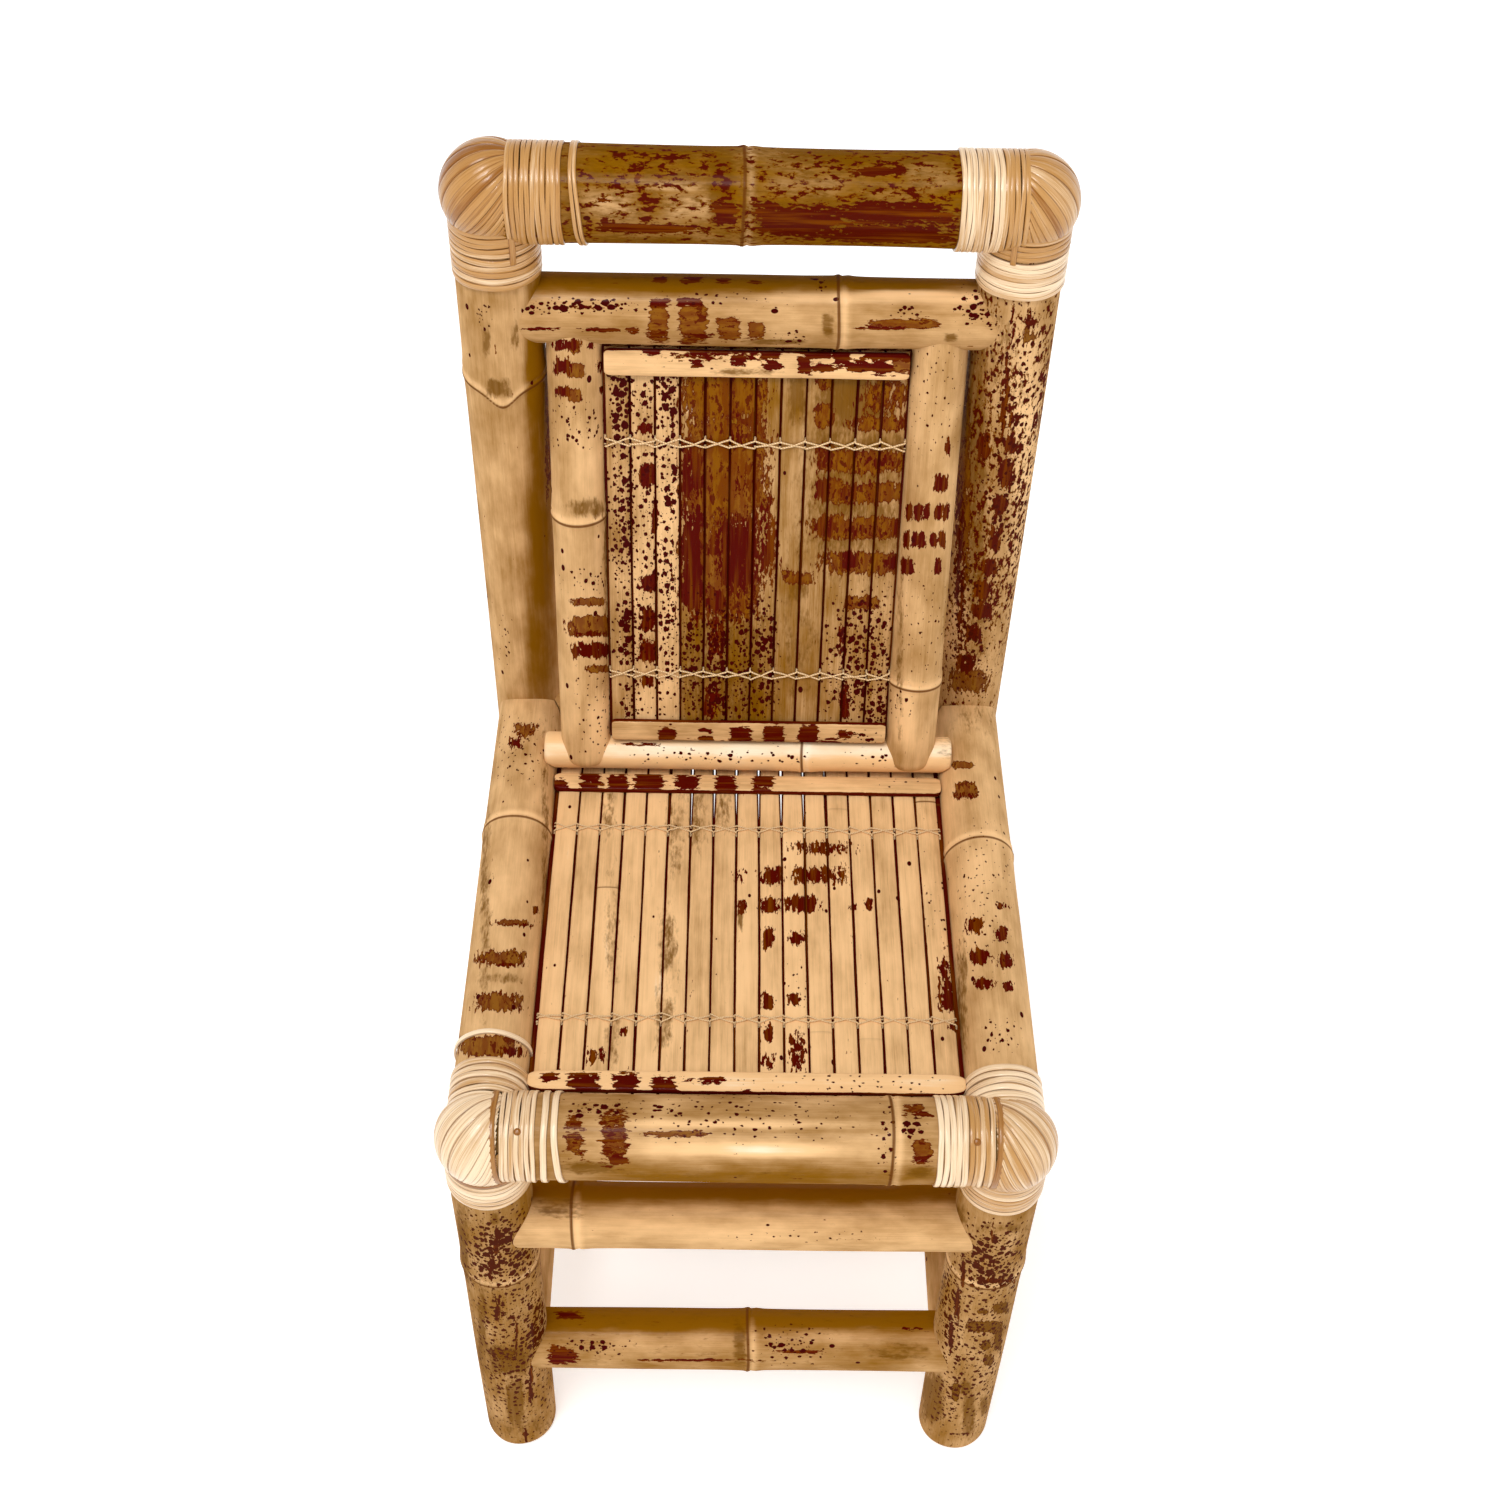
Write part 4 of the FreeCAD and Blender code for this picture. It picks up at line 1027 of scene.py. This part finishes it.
# back panel
backSlats = {
    "count": 12, "half": 111.0, "gap": 1.5, "show": -0.9, "beside": 1.6, "from": 16.5, "to": 354.3,
    "under": -0.5, "nodes": 0.0, "nodeReach": 0.0, "loose": (),
    "tones": (0.42, 0.6, 0.64, 0.3, 0.32, 0.26, 0.3, 0.26, 0.36, 0.34, 0.36, 0.36),
    "marks": {
        "fleck": [
            (622, 400, 13, 36, 1.12), (622, 445, 13, 20, 0.9), (624, 520, 13, 70, 0.95),
            (628, 630, 13, 40, 0.95), (630, 700, 12, 30, 0.75), (646, 400, 12, 26, 0.75),
            (648, 540, 12, 150, 0.62), (668, 395, 12, 38, 1.02), (668, 470, 12, 60, 0.75),
            (668, 600, 12, 110, 0.72), (692, 665, 13, 60, 0.86), (718, 665, 13, 60, 0.98),
            (744, 665, 13, 60, 0.84), (766, 660, 11, 64, 0.86), (864, 660, 34, 60, 0.82),
            (832, 670, 10, 50, 0.6), (880, 715, 20, 16, 0.95),
        ],
        "burn": [
            (646, 428, 8, 6, 1.0), (648, 474, 8, 12, 1.1), (655, 515, 3, 16, 1.1), (648, 583, 9, 8, 1.1),
            (648, 619, 8, 12, 1.05), (648, 651, 9, 11, 1.15), (648, 681, 8, 6, 0.8), (693, 470, 12, 36, 0.8),
            (692, 560, 12, 56, 0.98), (745, 430, 24, 22, 0.5), (746, 480, 20, 26, 0.5),
            (738, 555, 22, 40, 0.95), (765, 540, 14, 40, 0.7), (717, 545, 10, 14, 0.8),
            (716, 600, 11, 14, 0.9), (716, 640, 10, 22, 0.7), (712, 702, 9, 24, 0.8), (824, 458, 9, 12, 0.75),
            (822, 490, 8, 10, 0.85), (826, 526, 11, 10, 0.85), (896, 528, 8, 10, 0.85),
            (850, 560, 10, 10, 0.9), (894, 562, 12, 9, 0.8), (905, 424, 10, 8, 0.6), (880, 461, 22, 7, 0.62),
            (848, 493, 10, 8, 0.75), (862, 530, 22, 7, 0.66), (858, 604, 12, 3, 0.7), (842, 640, 5, 20, 0.7),
            (845, 702, 6, 20, 0.8),
        ],
        "singe": [
            (724, 395, 46, 30, 0.95), (724, 470, 46, 60, 1.05), (720, 570, 42, 50, 1.1),
            (800, 578, 20, 8, 0.8), (824, 350, 10, 8, 0.8), (824, 382, 9, 8, 0.95), (824, 416, 11, 12, 1.0),
            (826, 458, 12, 14, 1.0), (832, 490, 14, 12, 1.0), (832, 526, 16, 12, 1.05),
            (888, 394, 30, 24, 0.7), (880, 424, 34, 9, 0.85), (866, 461, 52, 13, 0.92),
            (866, 493, 52, 12, 0.9), (862, 528, 52, 12, 0.92), (864, 563, 48, 12, 0.92),
            (860, 603, 20, 8, 0.85),
        ],
        "stain": [
            (720, 395, 44, 30, 0.8), (722, 480, 12, 70, 0.9), (728, 670, 50, 74, 0.62),
            (798, 395, 11, 34, 0.75), (798, 590, 11, 12, 0.7), (800, 650, 22, 60, 0.4),
            (860, 400, 50, 34, 0.85), (855, 490, 60, 90, 0.66),
        ],
        "tone": [(692, 408, 7, 4, 1.2), (730, 690, 50, 60, -0.12), (798, 475, 11, 44, 0.2)],
    },
}
laySlats("back", backSlats, 200)

backTopStrip = {
    **stripOn("back", 111.0, 344.3, 6.7, 20.0), "tip": 5.0, "tipCut": 0.3, "base": {"tone": 0.72},
    "marks": {
        "mottle": [(720, 356, 90, 8, 1.0)],
        "burn": [
            (617, 349, 14, 2, 1.0), (651, 351, 10, 4, 1.0), (697, 354, 9, 4, 1.0), (697, 364, 7, 4, 1.0),
            (719, 353, 8, 3.5, 0.95), (738, 361, 8, 6, 1.0), (771, 355, 10, 5, 1.05),
            (773, 365, 9, 4.5, 1.05), (804, 365, 7, 10, 1.1), (819, 355, 18, 4, 1.05), (822, 368, 12, 4, 1.0),
            (842, 358, 8, 9, 1.05), (859, 367, 12, 6, 1.05), (886, 355, 22, 6, 1.2), (882, 369, 11, 6, 1.05),
            (909, 357, 14, 5, 0.9),
        ],
        "singe": [(908, 362, 18, 13, 1.0)],
        "stain": [(745, 372, 30, 4, 0.6)],
    },
}
layBar("back_top_strip", backTopStrip, 280)

backBottomStrip = {
    **stripOn("back", 111.0, 26.5, 6.7, 18.0), "tip": 4.0, "tipCut": 0.2, "base": {"tone": 0.56},
    "marks": {
        "burn": [
            (667, 736, 8, 8, 1.2), (705, 731, 7, 3, 1.0), (706, 741, 7, 6, 1.2), (741, 737, 10, 10, 1.3),
            (774, 736, 10, 10, 1.3), (808, 736, 9, 10, 1.3), (725, 744, 10, 3, 0.9), (757, 744, 12, 3, 0.9),
            (790, 744, 10, 2.5, 0.85), (832, 742, 14, 3.5, 0.9), (846, 734, 9, 4, 0.85),
        ],
        "fleck": [(865, 738, 12, 8, 0.7)],
    },
}
layBar("back_bottom_strip", backBottomStrip, 281)
print("slats and strips laid")

# battens behind the panels
battens = {
    "seat": {"rows": (101.0, 289.0), "level": -12.2, "radius": 9.0, "half": 171.0},
    "back": {"rows": (0.207 * backLength, 0.734 * backLength), "level": -7.7, "radius": 7.0, "half": 124.0},
}
stickEnd = {"round": 1.0}
for panel, batten in battens.items():
    sticks = []
    for count, row in enumerate(batten["rows"]):
        low, high = (onPanel(panel, side * batten["half"], row, batten["level"]) for side in (-1, 1))
        stick = {
            "from": low, "to": high, "radius": batten["radius"], "columns": 32, "spacing": 6.0,
            "nodes": [batten["half"] * (0.7 + 0.5 * count)], "ends": (stickEnd, stickEnd),
            "base": {"tone": 0.5},
        }
        sticks.append(culmSurface(stick, 300 + count))
    makePiece(panel + "_batten_sticks", panel + "_battens", "bamboo", sticks)


# lacing
def threadOffset(draw):
    return draw.random() * grainApart["thread"]


def tubeSurface(path, guide, radius, sides, offset):
    # a circle carried along a path, turned so that its first point looks along the guide
    ahead = unit(np.gradient(path, axis=0))
    side = unit(np.cross(ahead, guide))
    up = np.cross(side, ahead)
    turn = np.linspace(0.0, 2 * np.pi, sides, endpoint=False)
    ring = np.cos(turn)[None, :, None] * up[:, None, :] - np.sin(turn)[None, :, None] * side[:, None, :]
    around = np.broadcast_to(turn, ring.shape[:2])
    run = np.broadcast_to(runAlong(path)[:, None] + offset, around.shape)
    grain = np.stack([around, np.zeros_like(around), run], axis=-1)
    return {"at": path[:, None, :] + radius * ring, "grain": grain}


lacing = {
    "seat": {"slats": seatSlats, "face": 4.0, "cross": 3.2, "thread": 0.6},
    "back": {"slats": backSlats, "face": 6.5, "cross": 3.0, "thread": 0.66},
}
laceForm = {
    "sides": 6, "waver": 0.7, "sag": 0.5, "lift": 0.35, "hop": 1.6, "hopWidth": 0.3, "dive": 1.3,
    "hidden": 0.5, "apart": 0.35, "under": 1.6, "bend": 3.0,
}


def layLacing(panel, lace, batten, seed):
    # over each slat two threads cross; in each gap they go down and round the batten
    draw = np.random.default_rng(seed)
    count, slatGap = lace["slats"]["count"], lace["slats"]["gap"]
    pitch = (2 * lace["slats"]["half"] + slatGap) / count
    gaps = -lace["slats"]["half"] - slatGap / 2 + pitch * np.arange(count + 1)
    sides, thick, level = laceForm["sides"], lace["thread"], batten["level"]
    reach = batten["radius"] + thick + 0.1
    tubes = []
    part = np.concatenate([[-1.0, -0.96], np.linspace(-0.9, 0.9, 9), [0.96, 1.0]])
    dip = np.clip(np.abs(part) - 0.92, 0.0, 1.0) / 0.08
    rest = lace["face"] + thick + laceForm["lift"] - laceForm["dive"] * dip ** 2
    hop = hump(part, thick * laceForm["hop"], 0.0, laceForm["hopWidth"])
    bend = np.linspace(0.0, np.pi, 13)[1:-1]
    above = [lace["face"] - laceForm["under"], level + laceForm["bend"]]
    under = np.concatenate([above, level - reach * np.sin(bend), above[::-1]])
    beside = np.array([lace["cross"] * 0.8, reach])
    beside = np.concatenate([beside, reach * np.cos(bend), -beside[::-1]])
    for row in batten["rows"]:
        for strand in (-1, 1):
            high = rest + hop if strand == 1 else rest
            for here, there in zip(gaps, gaps[1:]):
                tilt = strand * (lace["cross"] + laceForm["waver"] * draw.standard_normal())
                sag = laceForm["sag"] * draw.standard_normal()
                x = (here + there) / 2 + part * (there - here) / 2
                y = row + tilt * part + sag * (1.0 - part ** 2)
                path = onPanel(panel, x, y, high)
                tubes.append(tubeSurface(path, panels[panel]["out"], thick, sides, threadOffset(draw)))
            for gap in gaps:
                path = onPanel(panel, gap + strand * laceForm["apart"], row + beside, under)
                tubes.append(tubeSurface(path, xAxis, laceForm["hidden"], sides, threadOffset(draw)))
    makePiece(panel + "_lacing_threads", panel + "_lacing", "thread", tubes)


for order, (panel, lace) in enumerate(lacing.items()):
    layLacing(panel, lace, battens[panel], 400 + order)
print("lacing laid")


# cane over the corners
strandAcross = np.array([-0.5, -0.5, -0.42, -0.16, 0.16, 0.42, 0.5, 0.5])
strandHigh = np.array([0.0, 0.55, 0.88, 1.0, 1.0, 0.88, 0.55, 0.0])
clearOf = 0.4  # strands over a corner stand this far off the poles
bandForm = {
    "points": 121, "wander": 0.35, "ripple": 0.2, "off": 0.15, "behind": -3.0, "sunk": 0.6,
    "toneVaries": 0.08, "widthVaries": 0.05,
}
domeForm = {
    "points": 28, "past": 0.05, "stray": 0.1, "sunk": 0.8, "wider": 0.3, "least": 1.6, "most": 9.5,
    "toneVaries": 0.12, "thin": 0.8,
}


def caneOffset(draw):
    return draw.random(3) * grainApart["cane"]


def strandSurface(path, normals, width, thick, tone, offset):
    # a flat, crowned section carried along a path that lies on the corner, its back to the poles
    across = unit(np.cross(unit(np.gradient(path, axis=0)), normals))
    aside = strandAcross * np.broadcast_to(width, len(path))[:, None]
    high = np.broadcast_to(strandHigh * thick, aside.shape)
    at = path[:, None, :] + aside[..., None] * across[:, None, :] + high[..., None] * normals[:, None, :]
    run = np.broadcast_to(runAlong(path)[:, None], aside.shape)
    grain = np.stack([aside, high, run], axis=-1) + offset
    edge = np.broadcast_to(np.abs(strandAcross) * 2.0, aside.shape)
    return {"at": at, "grain": grain, "tone": np.full(aside.shape, tone), "ring": edge}


def longestRun(free):
    # first and last place of the longest stretch of true values
    places = np.flatnonzero(free)
    runs = np.split(places, np.flatnonzero(np.diff(places) > 1) + 1)
    best = max(runs, key=len)
    return best[0], best[-1]


def bandStrand(corner, arm, place, width, tone, draw, lean, over=0.0):
    # one turn of cane round an arm at a distance from the corner, cut where another arm is in the way
    way = arm["way"]
    begin = unit(sum((other["way"] for other in corner["arms"] if other is not arm), np.zeros(3)))
    side = np.cross(way, begin)
    turn = np.linspace(0.0, 2 * np.pi, bandForm["points"])
    normals = np.cos(turn)[:, None] * begin + np.sin(turn)[:, None] * side
    wander = bandForm["wander"] * np.sin(2 * turn + draw.random() * anyTurn)
    wander = wander + bandForm["ripple"] * np.sin(5 * turn + draw.random() * anyTurn)
    away = place + wander + lean * normals[:, 2]
    path = corner["centre"] + away[:, None] * way + (arm["size"] + bandForm["off"] + over) * normals
    free = np.ones(len(turn), dtype=bool)
    for other in corner["arms"]:
        if other is not arm:
            off = path - corner["centre"]
            along = off @ other["way"]
            radial = np.linalg.norm(off - along[:, None] * other["way"], axis=1)
            free &= ~((along > bandForm["behind"]) & (radial < other["size"] - bandForm["sunk"]))
    first, last = longestRun(free)
    first, last = max(first - 1, 0), min(last + 1, len(turn) - 1)
    keep = np.unique(np.concatenate([np.arange(first, last, 2), [last]]))
    return strandSurface(path[keep], normals[keep], width, corner["thick"], tone, caneOffset(draw))


def domeStrands(corner, draw, under):
    # strands over the open corner: great-circle arcs from the upright's band to the edges of the
    # other bands, spread evenly round the opening and as wide as the room between neighbours
    dome = corner["dome"]
    inward, front, sink = corner["inward"], -yAxis, -zAxis
    count = dome["count"]
    stray = domeForm["stray"] * draw.standard_normal(count)
    share = (np.arange(count) + (1.0 if under else 0.5) + stray) / count

    def ring(middle, size, angle, first, second):
        swing = np.radians(angle)[:, None]
        return middle + size * (np.cos(swing) * first + np.sin(swing) * second)

    turn = dome["from"] + (dome["to"] - dome["from"]) * share
    low = ring(sink * dome["low"], corner["upright"]["size"] + clearOf, turn, inward, front)
    if "side" in corner:
        part = share / dome["split"]
        rest = (share - dome["split"]) / (1.0 - dome["split"])
        railTurn = dome["railFrom"] + dome["railSweep"] * part
        sideTurn = dome["sideFrom"] + dome["sideSweep"] * rest
        onRail = ring(inward * dome["edge"], corner["rail"]["size"] + clearOf, railTurn, sink, front)
        sideRing = corner["side"]["size"] + dome["proud"]
        onSide = ring(yAxis * dome["sideEdge"], sideRing, sideTurn, sink, -inward)
        high = np.where(part[:, None] < 1.0, onRail, onSide)
    else:
        high = ring(inward * dome["edge"], corner["rail"]["size"] + clearOf, turn, sink, front)
    reachLow, reachHigh = (np.linalg.norm(end, axis=1)[:, None] for end in (low, high))
    angle = np.arccos(np.clip(np.sum(low * high, axis=1)[:, None] / (reachLow * reachHigh), -1.0, 1.0))
    part = np.linspace(-domeForm["past"], 1.0 + domeForm["past"], domeForm["points"])[None, :]
    first, second = np.sin((1 - part) * angle) / np.sin(angle), np.sin(part * angle) / np.sin(angle)
    rays = first[..., None] * unit(low)[:, None, :] + second[..., None] * unit(high)[:, None, :]
    rays = unit(rays)
    inside = np.clip(part, 0.0, 1.0)
    reach = reachLow + (reachHigh - reachLow) * inside + dome["lift"] * np.sin(np.pi * inside)
    reach = reach - domeForm["sunk"] * under
    paths = corner["centre"] + rays * reach[..., None]
    ahead = unit(np.gradient(paths, axis=1))
    apart = np.gradient(paths, axis=0)
    apart = apart - np.sum(apart * ahead, axis=2, keepdims=True) * ahead
    widths = np.linalg.norm(apart, axis=2) * (dome["cover"] + domeForm["wider"] * under)
    widths = np.clip(widths, domeForm["least"], domeForm["most"])
    tones = dome["tone"] + domeForm["toneVaries"] * draw.standard_normal(count)
    offsets = draw.random((count, 3)) * grainApart["cane"]
    thicks = np.full(count, corner["thick"] * domeForm["thin"])
    return [strandSurface(*strand) for strand in zip(paths, rays, widths, thicks, tones, offsets)]


def layWrap(node, corner, seed):
    draw = np.random.default_rng(seed)
    strands = domeStrands(corner, draw, 0) + domeStrands(corner, draw, 1)
    for arm, bands in corner["bands"].items():
        for start, count, pitch, width, tone, lean in bands:
            for turn in range(count):
                shade = tone + bandForm["toneVaries"] * draw.standard_normal()
                wide = width * (1.0 + bandForm["widthVaries"] * draw.standard_normal())
                strands.append(bandStrand(corner, corner[arm], start + pitch * turn, wide, shade, draw, lean))
    for lay, *values in corner["locks"]:
        strands.append(lay(corner, draw, *values))
    makePiece(node + "_strands", node, "cane", strands)


def uprightLock(corner, draw, turn, top, bottom, width, tone):
    # a short strip laid upright over the turns on the post or leg
    count, thick = 10, 1.2
    angle = math.radians(turn)
    out = math.cos(angle) * corner["inward"] - math.sin(angle) * yAxis
    drop = np.linspace(top, bottom, count)
    lift = corner["thick"] * (0.1 + 0.9 * np.sin(np.pi * np.linspace(0.02, 0.98, count)) ** 0.3)
    path = corner["centre"] + out * (corner["upright"]["size"] + lift)[:, None] - drop[:, None] * zAxis
    return strandSurface(path, np.tile(out, (count, 1)), width, thick, tone, caneOffset(draw))


def nailHead(corner, draw, place, turn, size):
    # a low dome of a few rings on the rail's band
    angle = math.radians(turn)
    out = math.sin(angle) * zAxis - math.cos(angle) * yAxis
    side = np.cross(corner["inward"], out)
    swing = np.linspace(0.0, 2 * np.pi, 16, endpoint=False) * np.sign(corner["inward"][0])
    ring = np.cos(swing)[:, None] * corner["inward"] + np.sin(swing)[:, None] * side
    wide, high = np.array([1.0, 1.0, 0.8, 0.45, 0.1]) * size, np.array([0.0, 0.3, 0.75, 1.0, 1.05]) * 0.9
    middle = corner["centre"] + place * corner["inward"]
    middle = middle + (corner["rail"]["size"] + corner["thick"]) * out
    at = middle + wide[:, None, None] * ring[None] + high[:, None, None] * out
    level = np.zeros(at.shape[:2])
    return {"at": at, "grain": at + caneOffset(draw), "tone": level - 0.3, "ring": level + 0.5}


def edgeLock(corner, draw, place, width, tone, lean):
    # a strip over the edge between the open corner and the rail's band
    return bandStrand(corner, corner["rail"], place, width, tone, draw, lean, corner["thick"] * 0.75)


def cornerOf(side, y, z, railSize, uprightSize, details):
    inward = -side * xAxis
    corner = {"centre": np.array([side * legX, y, z]), "inward": inward, **details}
    corner["rail"] = {"way": inward, "size": railSize}
    corner["upright"] = {"way": -zAxis, "size": uprightSize}
    corner["arms"] = [corner["rail"], corner["upright"]]
    if "side" in details["bands"]:
        corner["side"] = {"way": yAxis, "size": sideSize}
        corner["arms"].append(corner["side"])
    return corner


topDome = {"lift": 0.4, "cover": 1.08}
# each band: where it starts, its turns, their pitch, width, tone and lean
topLeftWrap = {
    "thick": 1.8,
    "dome": {**topDome, "count": 30, "from": 67.0, "to": 293.0, "low": 15.0, "edge": 11.0, "tone": 0.27},
    "bands": {
        "rail": [(13.5, 11, 3.5, 3.6, 0.48, 0.0), (59.0, 2, 2.9, 2.9, 0.6, -3.0)],
        "upright": [(16.5, 5, 3.9, 3.9, 0.42, 0.0), (37.5, 5, 5.0, 4.9, 0.56, 0.0)],
    },
    "locks": [(uprightLock, 62.0, 15.0, 40.0, 4.6, 0.3)],
}
layWrap("corner_wrap_top_left", cornerOf(-1, rearY, topZ, topSize, postSize, topLeftWrap), 500)

topRightWrap = {
    "thick": 1.8,
    "dome": {**topDome, "count": 24, "from": 75.0, "to": 285.0, "low": 13.0, "edge": 3.5, "tone": 0.5},
    "bands": {
        "rail": [(5.5, 5, 3.5, 3.5, 0.5, 0.0), (23.0, 8, 3.7, 3.8, 0.8, 0.0)],
        "upright": [(14.5, 4, 4.3, 4.3, 0.45, 0.0), (32.5, 8, 3.7, 3.8, 0.8, 0.0)],
    },
    "locks": [(uprightLock, 70.0, 16.0, 32.0, 4.2, 0.3)],
}
layWrap("corner_wrap_top_right", cornerOf(1, rearY, topZ, topSize, postSize, topRightWrap), 510)

frontDome = {
    "count": 28, "from": 70.0, "to": 208.0, "low": 16.0, "edge": 10.0, "sideEdge": 14.0, "split": 0.51,
    "railFrom": 58.0, "railSweep": 149.0, "sideFrom": 200.0, "sideSweep": -146.0, "proud": 2.5,
    "lift": 0.8, "cover": 1.08,
}
frontLeftWrap = {
    "thick": 1.7, "dome": {**frontDome, "tone": 0.92},
    "bands": {
        "rail": [
            (14.5, 7, 3.6, 3.6, 0.8, 0.0), (44.0, 1, 4.0, 4.6, 0.85, 0.0), (54.5, 1, 4.4, 4.6, 0.8, -4.0),
        ],
        "side": [(16.5, 6, 5.7, 4.9, 0.78, 0.0), (70.0, 1, 4.0, 4.2, 0.98, 0.0)],
        "upright": [(18.0, 1, 4.0, 4.4, 0.12, 0.0), (23.0, 6, 4.6, 4.5, 0.86, 0.0)],
    },
    "locks": [(edgeLock, 10.0, 5.2, 0.16, -2.5), (nailHead, 26.0, 62.0, 2.6)],
}
layWrap("corner_wrap_front_left", cornerOf(-1, frontY, seatZ, frontSize, legSize, frontLeftWrap), 520)

frontRightWrap = {
    "thick": 1.7, "dome": {**frontDome, "tone": 0.6},
    "bands": {
        "rail": [(14.0, 5, 3.7, 3.7, 0.52, 0.0), (33.0, 5, 4.4, 4.2, 0.88, 0.0)],
        "side": [(16.5, 6, 5.7, 4.9, 0.86, 0.0)],
        "upright": [(18.0, 7, 4.6, 4.5, 0.66, 0.0)],
    },
    "locks": [(edgeLock, 10.5, 4.8, 0.18, -2.0), (nailHead, 25.5, 56.0, 2.6)],
}
layWrap("corner_wrap_front_right", cornerOf(1, frontY, seatZ, frontSize, legSize, frontRightWrap), 530)
print("corners wrapped")

# dowels stay as their own node inside the joints
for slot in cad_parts["joint_dowels"].material_slots:
    slot.material = finishes["dowel_wood"]


# floor and light
disk = {"shape": "DISK"}
studio = {
    "level": 6.0, "rim": 15.0, "climb": 9.0, "sky": 0.27,
    "lamps": {  # kind, place, aim and settings
        "sun_lamp": ("SUN", (0, 0, 0), (0.2, 0.42, -1.0), {"angle": math.radians(32.0), "energy": 1.52}),
        "key_lamp": ("AREA", (-0.25, -0.55, 2.3), (0.25, 0.55, -1.8), {**disk, "size": 0.4, "energy": 6.8}),
        "fill_lamp": ("AREA", (1.8, -1.2, 1.9), (-1.8, 1.2, -1.5), {**disk, "size": 1.8, "energy": 3.3}),
    },
}


def layFloor():
    # a level grid that climbs with the square of the distance past its level part, as a pale backdrop
    line = np.linspace(-studio["rim"], studio["rim"], 25)
    x, y = np.meshgrid(line, line)
    past = np.maximum(np.hypot(x, y) - studio["level"], 0.0) / (studio["rim"] - studio["level"])
    faces = gridFaces(np.arange(line.size ** 2).reshape(line.size, line.size))
    mesh = bpy.data.meshes.new("floor")
    places = np.stack([x, y, studio["climb"] * past ** 2 - 0.0005], axis=-1).reshape(-1, 3)
    mesh.from_pydata(places.tolist(), [], faces.tolist())
    mesh.polygons.foreach_set("use_smooth", np.ones(len(faces), dtype=bool))
    shade = Shade("pale_floor", {"Roughness": 0.9, "Specular IOR Level": 0.1, "Emission Strength": 0.43})
    place = shade.node("ShaderNodeTexCoord", {}, {}, 3)
    cloud = shade.noise(place, (1.3, 1.3, 1.3), 2.0, 0.5)
    shade.give("Base Color", shade.mix(cloud, (0.9, 0.9, 0.9, 1), (0.93, 0.93, 0.93, 1)))
    climbing = shade.step(shade.split(place)[2], 0.0, 1.5)
    shade.give("Emission Color", shade.mix(climbing, (1, 1, 1, 1), (0.3, 0.3, 0.3, 1)))
    mesh.materials.append(shade.material)
    floor = addObject("floor", mesh)


def addLamp(name, kind, place, aim, settings):
    lamp = bpy.data.lights.new(name, kind)
    for key, value in settings.items():
        setattr(lamp, key, value)
    turn = Vector(aim).to_track_quat("-Z", "Y").to_matrix().to_4x4()
    addObject(name, lamp).matrix_world = Matrix.Translation(place) @ turn


layFloor()
for name, lamp in studio["lamps"].items():
    addLamp(name, *lamp)
sky = bpy.data.worlds.new("studio")
sky.use_nodes = True
background = sky.node_tree.nodes["Background"]
background.inputs["Color"].default_value = (1.0, 1.0, 1.0, 1.0)
background.inputs["Strength"].default_value = studio["sky"]
bpy.context.scene.world = sky
bpy.context.scene.view_settings.view_transform = "Standard"
print("studio lit")
